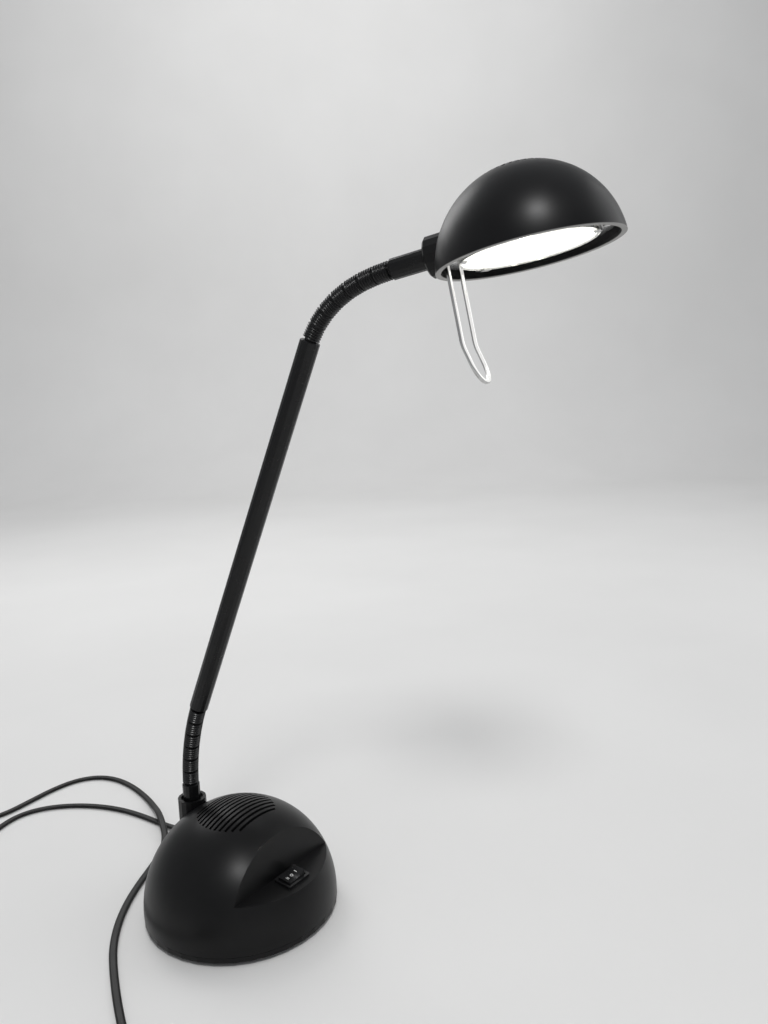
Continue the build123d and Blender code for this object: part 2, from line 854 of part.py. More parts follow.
def neck_link(frame):
    """Ribbed link: a seat at its near pivot, a ball at its far one, and a bore for the wires."""
    with BuildPart() as link:
        add(barrel(frame, rib_stations, neck_sides))
        add(barrel(frame.offset(link_length), ball_stations, neck_sides))
        add(barrel(frame, seat_stations, neck_sides), mode=Mode.SUBTRACT)
        bore = [(0, neck_bore), (link_length + overrun, neck_bore)]
        add(barrel(frame, bore, neck_sides), mode=Mode.SUBTRACT)
    return link


for number in range(lower_links):
    keep(neck_link(lower_pivots[number]), f"lower_link_{number + 1}")
for number in range(upper_links):
    keep(neck_link(upper_pivots[number]), f"upper_link_{number + 1}")

ferrule_length = socket_top + lower_ferrule_rise - ferrule_bottom
with BuildPart() as lower_ferrule:
    body = [(-ferrule_length, ferrule_radius), (-groove_half - ferrule_bevel, ferrule_radius)]
    add(barrel(arm_start, body + [(-groove_floor_half, groove_radius)], turned_sides))
    add(barrel(arm_start, ball_stations, neck_sides))
    bore = [(-ferrule_length - overrun, neck_bore), (overrun, neck_bore)]
    add(barrel(arm_start, bore, neck_sides), mode=Mode.SUBTRACT)
keep(lower_ferrule, "lower_ferrule")

# Tube and the two ends that are pressed into it

tube_bore = tube_radius - tube_wall
tube_from = groove_floor_half + tube_collar
tube_to = arm_span - tube_from
head_frame = tube_frame.offset(arm_span)

collar_stations = [
    (groove_floor_half, groove_radius),
    (groove_half, neck_radius),
    (groove_half + ferrule_bevel, tube_radius),
    (tube_from, tube_radius),
]
plug_stations = [(tube_from, tube_bore - fit_gap), (tube_from + tube_plug_depth, tube_bore - fit_gap)]


def mirrored(stations):
    """The same rings on the other side of the pivot, in order along the axis."""
    return [(-reach, radius) for reach, radius in reversed(stations)]


with BuildPart() as tube_foot:
    add(barrel(tube_frame, collar_stations, turned_sides))
    add(barrel(tube_frame, plug_stations, turned_sides))
    add(barrel(tube_frame, seat_stations, neck_sides), mode=Mode.SUBTRACT)
    add(barrel(tube_frame, [(0, neck_bore), (arm_span, neck_bore)], neck_sides), mode=Mode.SUBTRACT)
keep(tube_foot, "tube_foot")

with BuildPart() as arm_tube:
    add(barrel(tube_frame, [(tube_from, tube_radius), (tube_to, tube_radius)], turned_sides))
    add(barrel(tube_frame, [(tube_from, tube_bore), (tube_to, tube_bore)], turned_sides), mode=Mode.SUBTRACT)
keep(arm_tube, "arm_tube")

with BuildPart() as tube_head:
    add(barrel(head_frame, mirrored(collar_stations), turned_sides))
    add(barrel(head_frame, mirrored(plug_stations), turned_sides))
    add(barrel(head_frame, ball_stations, neck_sides))
    add(barrel(head_frame, [(-arm_span, neck_bore), (overrun, neck_bore)], neck_sides), mode=Mode.SUBTRACT)
keep(tube_head, "tube_head")

# Ferrule and saddle. The shade's frame: x away from the arm, z up, origin in the middle of the rim

ferrule_end = ferrule_frame.offset(upper_ferrule_length)
shade_frame = Plane(
    ferrule_end.from_local_coords((saddle_height, 0, saddle_reach)),
    x_dir=ferrule_frame.z_dir,
    z_dir=-ferrule_frame.x_dir,
)
dome_radius = (shade_radius**2 + shade_height**2) / (2 * shade_height)
dome_drop = shade_height - dome_radius
saddle_frame = Plane(ferrule_end.origin, x_dir=ferrule_frame.x_dir, z_dir=ferrule_frame.z_dir)

with BuildPart() as upper_ferrule:
    body = [(reach, upper_ferrule_radius) for reach in (groove_half + ferrule_bevel, upper_ferrule_length)]
    add(barrel(ferrule_frame, near_stations + body, turned_sides))
    add(barrel(ferrule_frame, seat_stations, neck_sides), mode=Mode.SUBTRACT)
    add(barrel(ferrule_frame, [(0, neck_bore), (arm_span, neck_bore)], neck_sides), mode=Mode.SUBTRACT)
keep(upper_ferrule, "upper_ferrule")

shade_dome = band_points(dome_radius, dome_drop, outer_bands, 0)
with BuildPart() as shade_ball:
    add(dome(shade_frame, [], shade_dome, outer_sides))

with BuildPart() as head_saddle:
    disc = [(0, saddle_radius - saddle_corner), (saddle_corner, saddle_radius), (stem_length, saddle_radius)]
    add(barrel(saddle_frame, disc, turned_sides))
    add(shade_ball.part, mode=Mode.SUBTRACT)
    add(barrel(saddle_frame, [(saddle_corner, stem_radius), (stem_length, stem_radius)], turned_sides))
    bore = [(-overrun, neck_bore), (stem_length + overrun, neck_bore)]
    add(barrel(saddle_frame, bore, neck_sides), mode=Mode.SUBTRACT)
keep(head_saddle, "head_saddle")

with BuildPart() as saddle_nut:
    with BuildSketch(saddle_frame.offset(saddle_pad_reach)):
        RegularPolygon(saddle_nut_radius, side_count=6, rotation=30)
        RegularPolygon(stem_radius + fit_gap, side_count=turned_sides, mode=Mode.SUBTRACT)
    extrude(amount=saddle_nut_height)
keep(saddle_nut, "saddle_nut")

# Shade: half-round dome, flat lip at the mouth, posts and a pad inside, vents in the top

inner_radius = dome_radius - shade_wall
reflector_top = reflector_rise + reflector_sheet
fixings_at = on_circle(fixing_circle, fixing_angles)
handle_feet = [(-handle_inset, side * handle_spread / 2) for side in (-1, 1)]
post_foot = shade_frame.offset(reflector_top + fit_gap)
pad_room = saddle_nut_radius + 2 * fit_gap

with BuildPart() as shade_cavity:
    mouth = shade_radius - rim_lip
    hollow = band_points(inner_radius, dome_drop, inner_bands, rim_lip_height)
    add(dome(shade_frame, [], hollow, inner_sides))
    add(barrel(shade_frame, [(-overrun, mouth), (rim_lip_height, mouth)], outer_sides))
    extrude(studs(post_foot, fixing_post_radius, *fixings_at), amount=shade_height, mode=Mode.SUBTRACT)
    extrude(studs(post_foot, handle_post_radius, *handle_feet), amount=shade_height, mode=Mode.SUBTRACT)
    extrude(studs(saddle_frame, pad_room, (0, 0)), amount=saddle_pad_reach, mode=Mode.SUBTRACT)

with BuildPart() as shade:
    add(shade_ball.part)
    add(shade_cavity.part, mode=Mode.SUBTRACT)
    with BuildSketch(shade_frame.offset(shade_height)):
        for step in range(shade_vent_count):
            reach = (step - (shade_vent_count - 1) / 2) * shade_vent_pitch
            with Locations((reach, 0)):
                Rectangle(shade_vent_width, 2 * sqrt(shade_vent_patch**2 - reach**2))
    extrude(amount=-shade_height / 3, mode=Mode.SUBTRACT)
    stem_room = stem_radius + fit_gap
    stem_hole = [(0, stem_room), (stem_length + overrun, stem_room)]
    add(barrel(saddle_frame, stem_hole, turned_sides), mode=Mode.SUBTRACT)
    for radius, places, depth in (
        (fixing_screw_radius - fit_gap, fixings_at, fixing_screw_grip),
        (handle_wire_radius + fit_gap, handle_feet, handle_grip),
    ):
        extrude(studs(post_foot, radius, *places), amount=depth, mode=Mode.SUBTRACT)
keep(shade, "shade")

# Reflector: pressed from sheet, with a flat flange and a deep bowl

bowl_top = reflector_rise + bowl_depth
holder_screws_at = ((0, holder_screw_offset), (0, -holder_screw_offset))


def bowl(lift, grow):
    """Solid that fills the bowl, moved up and outward for its back."""
    foot = reflector_rise + lift
    rings = [(foot + rise * bowl_depth, reach * bowl_radius + grow) for reach, rise in bowl_shares]
    return barrel(shade_frame, rings, reflector_sides)


with BuildPart() as reflector:
    add(bowl(reflector_sheet, reflector_sheet))
    flange = [(reflector_rise, reflector_radius), (reflector_top, reflector_radius)]
    add(barrel(shade_frame, flange, reflector_sides))
    add(bowl(0, 0), mode=Mode.SUBTRACT)
    for radius, places in (
        (bowl_hole, ((0, 0),)),
        (fixing_screw_radius + fit_gap, fixings_at),
        (handle_wire_radius + running_gap, handle_feet),
        (holder_screw_radius - fit_gap, holder_screws_at),
    ):
        extrude(studs(shade_frame, radius, *places), amount=shade_height, mode=Mode.SUBTRACT)
keep(reflector, "reflector")

with BuildPart() as front_glass:
    pane = [(reflector_rise - glass_thickness, glass_radius), (reflector_rise, glass_radius)]
    add(barrel(shade_frame, pane, reflector_sides))
keep(front_glass, "front_glass")

with BuildPart() as glass_clips:
    for angle in fixing_angles:
        side = section_of(turned(shade_frame, shade_frame.z_dir, angle))
        under = reflector_rise - glass_thickness - fit_gap
        leg = glass_radius + 2 * fit_gap
        clip = outline(
            side,
            (fixing_circle + clip_heel, reflector_rise),
            (leg, reflector_rise),
            (leg, under),
            (leg - clip_toe, under),
            (leg - clip_toe, under - clip_sheet),
            (leg + clip_sheet, under - clip_sheet),
            (leg + clip_sheet, reflector_rise - clip_sheet),
            (fixing_circle + clip_heel, reflector_rise - clip_sheet),
        )
        extrude(clip, amount=clip_width / 2, both=True)
    clip_holes = studs(shade_frame, fixing_screw_radius + fit_gap, *fixings_at)
    extrude(clip_holes, amount=shade_height, mode=Mode.SUBTRACT)
keep(glass_clips, "glass_clips")
keep(
    screws(
        turned(shade_frame.offset(reflector_rise - clip_sheet), shade_frame.x_dir, 180),
        [(reach, -side) for reach, side in fixings_at],
        fixing_screw_radius - 2 * fit_gap,
        fixing_screw_grip + reflector_sheet + clip_sheet,
        fixing_head_radius,
        fixing_head_height,
    ),
    "reflector_screws",
)

# Lamp holder on top of the reflector, and the capsule that hangs from it

holder_frame = shade_frame.offset(bowl_top + reflector_sheet)
pins_at = ((pin_pitch / 2, 0), (-pin_pitch / 2, 0))

with BuildPart() as lamp_holder:
    flange = [(0, holder_flange_radius), (holder_flange_height, holder_flange_radius)]
    add(barrel(holder_frame, flange, turned_sides))
    with BuildSketch(holder_frame):
        Rectangle(holder_length, holder_width)
    extrude(amount=holder_height)
    for radius, places in (
        (pin_radius + pin_room, pins_at),
        (holder_screw_radius + fit_gap, holder_screws_at),
    ):
        extrude(studs(holder_frame, radius, *places), amount=pin_length, mode=Mode.SUBTRACT)
keep(lamp_holder, "lamp_holder")
keep(
    screws(
        holder_frame.offset(holder_flange_height),
        holder_screws_at,
        holder_screw_radius - 2 * fit_gap,
        holder_flange_height + reflector_sheet,
        holder_screw_head_radius,
        holder_screw_head_height,
    ),
    "holder_screws",
)

pinch_frame = holder_frame.offset(-pin_radius)
bulb_frame = pinch_frame.offset(-pinch_height)

with BuildPart() as bulb_envelope:
    with BuildSketch(pinch_frame):
        Rectangle(pinch_width, pinch_thickness)
    extrude(amount=-pinch_height)
    tip = round_stations(envelope_radius, envelope_angles)
    body = [(reach - envelope_length + envelope_radius, radius) for reach, radius in tip]
    shoulder = [(-pinch_thickness / 2, envelope_radius), (0, pinch_thickness / 2)]
    add(barrel(bulb_frame, body + shoulder, envelope_sides))
    extrude(
        studs(bulb_frame.offset(-filament_drop), filament_radius + fit_gap, (0, 0)),
        amount=filament_length,
        mode=Mode.SUBTRACT,
    )
    extrude(studs(pinch_frame, pin_radius + fit_gap, *pins_at), amount=-pinch_height / 2, mode=Mode.SUBTRACT)
keep(bulb_envelope, "bulb_envelope")

with BuildPart() as bulb_filament:
    extrude(studs(bulb_frame.offset(-filament_drop), filament_radius, (0, 0)), amount=filament_length)
keep(bulb_filament, "bulb_filament")

with BuildPart() as bulb_pins:
    extrude(
        studs(pinch_frame.offset(-pinch_height / 2), pin_radius, *pins_at),
        amount=pinch_height / 2 + pin_radius + pin_length - pin_room,
    )
keep(bulb_pins, "bulb_pins")

# Wire handle: two legs that bend together to a round tip

tip_inset = handle_inset - (handle_drop - handle_straight) * tan(radians(handle_lean))
with BuildPart() as handle:
    with BuildLine(shade_frame) as wire:
        reach = handle_spread / 2
        foot = reflector_top + fit_gap + handle_grip
        FilletPolyline(
            (-handle_inset, reach, foot),
            (-handle_inset, reach, -handle_straight),
            (-tip_inset, reach, -handle_drop),
            (-tip_inset, -reach, -handle_drop),
            (-handle_inset, -reach, -handle_straight),
            (-handle_inset, -reach, foot),
            radius=[handle_kink_radius, handle_tip_radius, handle_tip_radius, handle_kink_radius],
        )
    start = Plane(wire.line @ 0, x_dir=shade_frame.x_dir, z_dir=wire.line % 0)
    sweep(studs(start, handle_wire_radius, (0, 0)), path=wire.line)
keep(handle, "handle")

# Lead on the table: straight runs between the places, joined by arcs


def turn_radii(places):
    """Arc at every inner place: a share of its shorter run, so that arcs never meet."""
    radii = []
    for before, here, after in zip(places, places[1:], places[2:]):
        coming = Vector(here) - Vector(before)
        going = Vector(after) - Vector(here)
        half_turn = radians(coming.get_angle(going)) / 2
        radii.append(arc_share * min(coming.length, going.length) / tan(half_turn))
    return radii


lead_exit = outlet_plane.offset(bush_length + lead_exit_run)
lead_places = [tuple(lead_join.origin), tuple(lead_exit.origin), *lead_route]
lead_radii = turn_radii(lead_places)
with BuildPart() as cord_lead:
    with BuildLine() as lead_path:
        FilletPolyline(*lead_places, radius=lead_radii)
    lead_start = Plane(lead_path.line @ 0, x_dir=outlet_frame.x_dir, z_dir=lead_path.line % 0)
    sweep(flex(lead_start, 0), path=lead_path.line)
keep(cord_lead, "cord_lead")

# Coil: half circles between places on one line, inward below and outward above

heading = Vector(cos(radians(coil_heading)), sin(radians(coil_heading)))
coil_side = Vector(-heading.Y, heading.X)
coil_from = Vector(lead_route[-1])
coil_centre = coil_from + heading * coil_end_run - coil_side * coil_radius
coil_top = Vector(0, 0, coil_layer)
coil_places = []
for turn, inward in enumerate(coil_steps):
    reach = coil_radius - inward * coil_pitch / 2
    lift = coil_top if turn >= coil_climb else coil_top * 0
    coil_places.append(coil_centre + coil_side * (reach if turn % 2 == 0 else -reach) + lift)


def half_turns(first, last):
    """Half circles from one place to a later one, by turns ahead of and behind the line of places."""
    for turn in range(first, last):
        here, there = coil_places[turn], coil_places[turn + 1]
        across = heading * (there - here).length / 2
        ThreePointArc(here, (here + there) / 2 + (across if turn % 2 == 0 else -across), there)


def level_ring(place, aside):
    """The flex cut across at a place, with its flat side level."""
    corners = flex(Plane(place, x_dir=aside, z_dir=aside.cross(Vector(0, 0, 1))), 0).vertices()
    return [tuple(corner) for corner in corners]


with BuildPart() as cord_coil:
    with BuildLine() as inward_path:
        Line(coil_from, coil_places[0])
        half_turns(0, coil_climb - 1)
    sweep(flex(Plane(coil_from, x_dir=coil_side, z_dir=heading), 0), path=inward_path.line)
    # The half turn that climbs keeps the flex level
    with BuildLine(mode=Mode.PRIVATE) as climb_path:
        half_turns(coil_climb - 1, coil_climb)
    rings = []
    for step in range(climb_steps + 1):
        along = climb_path.line % (step / climb_steps)
        aside = Vector(-along.Y, along.X).normalized()
        rings.append(level_ring(climb_path.line @ (step / climb_steps), aside))
    add(stacked(rings, twisted=True))
    with BuildLine() as outward_path:
        half_turns(coil_climb, len(coil_places) - 1)
        Line(coil_places[-1], coil_places[-1] + heading * coil_tail)
    way = outward_path.line % 0
    upper_start = Plane(coil_places[coil_climb], x_dir=(-way.Y, way.X), z_dir=way)
    sweep(flex(upper_start, 0), path=outward_path.line)
keep(cord_coil, "cord_coil")

tie_reach = coil_radius - max(coil_steps) * coil_pitch / 2
tie_middle = (tie_reach + coil_radius + cord_width / 2) / 2
tie_length = coil_radius + cord_width / 2 - tie_reach + 2 * tie_room
tie_under = coil_from.Z - cord_thickness / 2 - tie_lift - tie_sheet
tie_height = coil_layer + cord_thickness + 2 * (tie_sheet + tie_under)
tie_at = coil_centre + heading * tie_middle
tie_plane = Plane((tie_at.X, tie_at.Y, tie_lift + tie_height / 2), x_dir=heading, z_dir=coil_side)
with BuildPart() as cord_tie:
    with BuildSketch(tie_plane):
        Rectangle(tie_length + 2 * tie_sheet, tie_height)
        Rectangle(tie_length, tie_height - 2 * tie_sheet, mode=Mode.SUBTRACT)
    extrude(amount=tie_width / 2, both=True)
keep(cord_tie, "cord_tie")

# Plug: moulded boot and flat body with two round pins

plug_frame = Plane(coil_places[-1] + heading * coil_tail, x_dir=heading, z_dir=(0, 0, 1))
plug_end = plug_boot_length + plug_length
plug_face = Plane(plug_frame.from_local_coords((plug_end, 0, 0)), x_dir=plug_frame.y_dir, z_dir=heading)
plug_pins_at = ((plug_pin_pitch / 2, 0), (-plug_pin_pitch / 2, 0))

with BuildPart() as plug_body:
    extrude(
        outline(
            plug_frame,
            (plug_boot_length, plug_boot_width / 2),
            (plug_boot_length + plug_shoulder, plug_width / 2),
            (plug_end, plug_nose_width / 2),
            (plug_end, -plug_nose_width / 2),
            (plug_boot_length + plug_shoulder, -plug_width / 2),
            (plug_boot_length, -plug_boot_width / 2),
        ),
        amount=plug_thickness / 2,
        both=True,
    )
    chamfer(plug_body.edges(), length=plug_corner)
    with BuildSketch(plug_frame):
        with Locations((plug_boot_length / 2 + plug_corner / 2, 0)):
            Rectangle(plug_boot_length - plug_corner + 2 * plug_corner, plug_boot_width - plug_corner)
    extrude(amount=plug_boot_thickness / 2, both=True)
    pin_holes = studs(plug_face, plug_pin_radius + fit_gap, *plug_pins_at)
    extrude(pin_holes, amount=-plug_pin_root, mode=Mode.SUBTRACT)
keep(plug_body, "plug_body")

with BuildPart() as plug_pins:
    pin_feet = studs(plug_face.offset(-plug_pin_root), plug_pin_radius, *plug_pins_at)
    extrude(pin_feet, amount=plug_pin_root + plug_pin_length)
keep(plug_pins, "plug_pins")

# What the flex measures: least arc, volume against length, and the least gap between its turns

flex_area = flex(Plane.XY, 0).area
coil_edges = [edge for path in (inward_path, climb_path, outward_path) for edge in path.edges()]
for name, piece, edges in (("cord_lead", cord_lead, lead_path.edges()), ("cord_coil", cord_coil, coil_edges)):
    length = sum(edge.length for edge in edges)
    share = piece.part.volume / (flex_area * length)
    print(name, "length", round(length), "volume share of section times length", round(share, 4))
coil_arcs = [(there - here).length / 2 for here, there in zip(coil_places, coil_places[1:])]
print("least arcs of lead and coil", round(min(lead_radii), 1), round(min(coil_arcs), 1))
spots = []
for edge in coil_edges:
    count = round(edge.length / coil_sample_pitch)
    spots += [edge @ (step / count) for step in range(count)]
skip = round(coil_skip / coil_sample_pitch)
least = coil_radius
for step, here in enumerate(spots):
    for there in spots[step + skip :]:
        aside = hypot(there.X - here.X, there.Y - here.Y)
        above = abs(there.Z - here.Z)
        slanted = (aside + above - cord_width) / sqrt(2)
        least = min(least, max(aside - cord_width, above - cord_thickness, slanted))
print("coil least gap to itself", round(least, 2))
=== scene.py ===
"""Looks of the desk lamp, in metres and in the CAD model's frame: materials for the CAD pieces and, in
place of some of them, drawn ones: smooth shells, ribbed necks, a wire handle, the flex, its bush and strap.
The switch has painted marks, and a pale studio and the photograph's camera stand round the lamp."""

import json
import math

import bpy
from mathutils import Matrix, Vector

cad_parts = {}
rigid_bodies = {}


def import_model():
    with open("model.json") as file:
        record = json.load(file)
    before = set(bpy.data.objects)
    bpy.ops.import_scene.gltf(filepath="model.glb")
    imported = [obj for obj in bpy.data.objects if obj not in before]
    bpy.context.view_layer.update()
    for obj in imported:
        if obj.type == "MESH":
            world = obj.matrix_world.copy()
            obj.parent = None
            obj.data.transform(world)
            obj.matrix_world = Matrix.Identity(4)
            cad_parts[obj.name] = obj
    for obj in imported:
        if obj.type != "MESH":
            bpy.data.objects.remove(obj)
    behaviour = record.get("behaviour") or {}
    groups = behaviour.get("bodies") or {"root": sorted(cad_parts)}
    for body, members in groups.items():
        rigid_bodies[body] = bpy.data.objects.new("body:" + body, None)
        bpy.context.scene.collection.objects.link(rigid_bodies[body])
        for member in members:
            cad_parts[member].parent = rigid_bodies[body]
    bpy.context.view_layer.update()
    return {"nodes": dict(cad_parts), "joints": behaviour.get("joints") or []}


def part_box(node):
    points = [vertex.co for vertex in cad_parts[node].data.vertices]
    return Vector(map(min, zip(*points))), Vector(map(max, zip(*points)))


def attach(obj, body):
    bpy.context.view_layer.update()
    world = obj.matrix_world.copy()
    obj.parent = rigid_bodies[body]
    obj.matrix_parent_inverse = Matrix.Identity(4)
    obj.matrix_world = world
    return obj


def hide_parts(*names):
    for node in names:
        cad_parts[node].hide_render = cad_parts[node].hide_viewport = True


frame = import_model()
nodes = frame["nodes"]
joints = {joint["name"]: joint for joint in frame["joints"]}
neck_links = [name for name in nodes if "_link_" in name]
upward = Vector((0, 0, 1))
mm = 0.001

# Camera: place and axes from the fit to the base's outline, focal length in pixels of the photograph
picture_height = 1024
focal_pixels = 850.0
sensor = 36.0
camera_near = 0.01
camera_place = Vector((-0.3987, -0.4324, 0.3810))
camera_right = Vector((0.5826, -0.8119, -0.0375))
camera_forward = Vector((0.7991, 0.5805, -0.1564))

# Flex: flat twin, its route as in the CAD source
flex_width = 5.5 * mm
flex_thickness = 3.3 * mm
flex_waist_share = 0.72
flex_waist_power = 6
flex_sides = 20
flex_line_steps = 6
lead_route = (
    (0.0294, 0.0808, 0.0140),
    (0.0328, 0.0902, 0.0140),
    (0.0365, 0.1006, 0.0118),
    (0.0398, 0.1130, 0.0074),
    (0.0418, 0.1275, 0.0034),
    (0.0426, 0.1450, 0.0019),
    (0.0426, 0.1660, 0.0019),
    (0.0404, 0.1900, 0.0019),
    (0.0340, 0.2140, 0.0019),
    (0.0220, 0.2380, 0.0019),
    (0.0040, 0.2580, 0.0019),
    (-0.0170, 0.2665, 0.0019),
    (-0.0410, 0.2610, 0.0019),
    (-0.0670, 0.2470, 0.0019),
    (-0.0960, 0.2450, 0.0019),
    (-0.1180, 0.2610, 0.0019),
    (-0.1190, 0.2880, 0.0019),
    (-0.0980, 0.3050, 0.0019),
    (-0.0710, 0.3020, 0.0019),
    (-0.0460, 0.2880, 0.0019),
    (-0.0230, 0.2795, 0.0019),
    (0.0030, 0.2815, 0.0019),
    (0.0280, 0.2840, 0.0019),
    (0.0520, 0.2815, 0.0019),
    (0.0690, 0.2690, 0.0019),
    (0.0760, 0.2480, 0.0019),
    (0.0740, 0.2200, 0.0019),
    (0.0660, 0.1900, 0.0021),
    (0.0560, 0.1670, 0.0042),
    (0.0475, 0.1510, 0.0076),
    (0.0375, 0.1340, 0.0076),
    (0.0280, 0.1190, 0.0042),
    (0.0140, 0.1065, 0.0021),
    (-0.0050, 0.0960, 0.0019),
    (-0.0270, 0.0850, 0.0019),
    (-0.0480, 0.0725, 0.0019),
    (-0.0680, 0.0570, 0.0019),
    (-0.0860, 0.0385, 0.0019),
    (-0.1000, 0.0190, 0.0019),
    (-0.1130, -0.0010, 0.0019),
    (-0.1250, -0.0210, 0.0019),
    (-0.1360, -0.0410, 0.0027),
    (-0.1462, -0.0594, 0.0027),
)

# Coil of the spare length, as in the CAD source
coil_heading = math.radians(241.0)
coil_end_run = 6.0 * mm
coil_radius = 33.0 * mm
coil_pitch = 6.1 * mm
coil_layer = 3.9 * mm
coil_steps = (0, 1, 2, 3, 4, 2, 1, 0, -1)
coil_climb = 4
coil_tail = 42.0 * mm
coil_tail_stops = (0.2, 0.6, 1.0)
half_turn_points = 8

# Strap round the coil: once round and a quarter more, and its last steps rise over its start
tie_middle = 28.3 * mm
tie_half_length = 9.3 * mm
tie_low = 0.2 * mm
tie_high = 9.0 * mm
tie_width = 9.0 * mm
tie_sheet = 0.5 * mm
tie_start = math.radians(60.0)
tie_sweep = math.radians(450.0)
tie_steps = 80
tie_end_steps = 16
tie_depth = 0.65 * mm
tie_squareness = 4

# Base: part of a ball on a short wall, with its notch and holes, as in the CAD source
base_radius = 70.0 * mm
base_middle = 9.5 * mm
base_wall = 2.5 * mm
seam_height = 7.5 * mm
crease_front = 42.4 * mm
crease_height = 39.0 * mm
notch_wall_lean = math.radians(7.0)
ledge_fall = math.radians(5.0)
switch_front = 51.5 * mm
switch_hole = (19.0 * mm, 12.8 * mm)
socket_back = 47.5 * mm
socket_hole = 10.6 * mm
socket_sink = 8.9 * mm
socket_sides = 48
stem_hole = 7.7 * mm

# Outlet and its bush: each rib has stops along it, with the share of the full section there
outlet_turn = math.radians(20.0)
outlet_height = 14.0 * mm
outlet_hole = (12.2 * mm, 9.2 * mm)
bush_flange_reach = (-8.1 * mm, -6.5 * mm)
bush_flange_half = (7.6 * mm, 6.1 * mm)
bush_root_half = (6.0 * mm, 4.5 * mm)
bush_tip_half = (4.0 * mm, 2.8 * mm)
bush_taper_reach = (1.6 * mm, 22.0 * mm)
bush_ribs = 5
bush_rib_stops = ((0.12, 0.84), (0.32, 0.84), (0.44, 1.0), (0.92, 1.0))
bush_sides = 32
bush_squareness = 6

# Shade: part of a ball above the middle of its rim, as in the CAD source
rim_place = Vector((52.87, -212.34, 446.09)) * mm
rim_up = Vector((-0.036332, 0.178577, 0.983255)).normalized()
shade_radius = 54.16 * mm
shade_height = 50.0 * mm
shade_drop = shade_height - shade_radius
shade_wall = 2.0 * mm
shade_mouth = 50.8 * mm
shade_lip = 2.4 * mm

# Vents: number of slots, their pitch and width, and the radius of the patch that they fill
base_vents = (12, 3.9 * mm, 1.9 * mm, 28.0 * mm)
shade_vents = (11, 3.7 * mm, 1.7 * mm, 22.5 * mm)

# Both shells: how far a cutter passes the surface, and how finely a dome is divided, up to almost its top
cut_overrun = 6.0 * mm
dome_sides = 128
dome_rings = 32
dome_top = math.radians(89.0)

# Neck links: seat at the near pivot, fine ribs, ball at the far pivot
rib_pitch = 1.7 * mm
rib_steps = 8
neck_radius = 6.0 * mm
groove_radius = 5.25 * mm
joint_seat = 5.25 * mm
joint_ball = 5.1 * mm
end_seat = 4.75 * mm
end_ball = 4.3 * mm
seat_turns = [math.radians(angle) for angle in (40.0, 30.0, 20.0, 10.0)]
seat_floor_share = 0.97
ball_turn = math.radians(52.0)
ball_steps = 6
neck_bore = 2.2 * mm
link_gap = 0.83 * mm
link_sides = 32

# Wire handle below the shade, in the shade's own directions
handle_wire = 1.4 * mm
handle_spread = 24.0 * mm
handle_inset = 45.0 * mm
handle_foot = 11.4 * mm
handle_straight = 41.0 * mm
handle_drop = 64.0 * mm
handle_lean = math.radians(15.0)
handle_kink = 26.0 * mm
handle_tip = 11.5 * mm
bend_steps = 10
wire_sides = 14

# Rocker: how far it tips at rest, the hollow of its top, and the marks on it
rocker_tilt = math.radians(10.0)
rocker_length = 15.0 * mm
rocker_end_rise = 5.4 * mm
rocker_middle_rise = 3.7 * mm
mark_height = 2.6 * mm
mark_stroke = 0.5 * mm
mark_relief = 0.04 * mm
mark_spacing = 4.0 * mm
ring_narrowing = 0.8
ring_sides = 24

# Shading: edges flatter than these angles, in degrees, look round
plain_smoothing = 34.0
bend_smoothing = 40.0
link_smoothing = 50.0
wire_smoothing = 60.0

# Corners that are shaded as a ball lie this near to it and face outwards at least this squarely
ball_tolerance = 0.02
ball_facing = 0.94

# Small round edges on moulded CAD pieces
edge_segments = 3
edge_angle = math.radians(40.0)
edge_widths = {
    "switch_body": 0.35 * mm,
    "rocker": 0.35 * mm,
    "plug_body": 0.8 * mm,
    "head_saddle": 0.4 * mm,
}

# Wave texture: how far its phase runs over one unit at scale 1
wave_radians = 20.0

# Light of the lamp itself: painted lamplight colours for the pieces near it, then the glow of the capsule and
# the filament
painted_lamplight_white = (1.0, 0.99, 0.96, 1.0)
painted_reflector_glow = (1.0, 0.96, 0.88, 1.0)
capsule_white = (1.0, 0.95, 0.85, 1.0)
filament_white = (1.0, 0.82, 0.55, 1.0)

# Studio: floor and backdrop, then each softbox with its place, target, size and power
floor_reach = 6.0
backdrop_distance = 2.2
backdrop_radius = 0.8
backdrop_height = 3.5
backdrop_steps = 16
world_colour = (0.95, 0.97, 1.0, 1.0)
world_strength = 0.4
softboxes = {
    "key_light": ((-0.72, -0.78, 1.6), (0, 0, 0.2), 0.35, 13.0),
    "fill_light": ((1.3, -0.9, 1.0), (0, 0, 0.25), 1.2, 4.0),
    "rim_light": ((0.5, 1.2, 1.3), (0, 0, 0.3), 0.8, 6.0),
    "backdrop_light": ((1.1, 0.8, 2.2), (2.4, 1.75, 0.9), 1.6, 20.0),
}


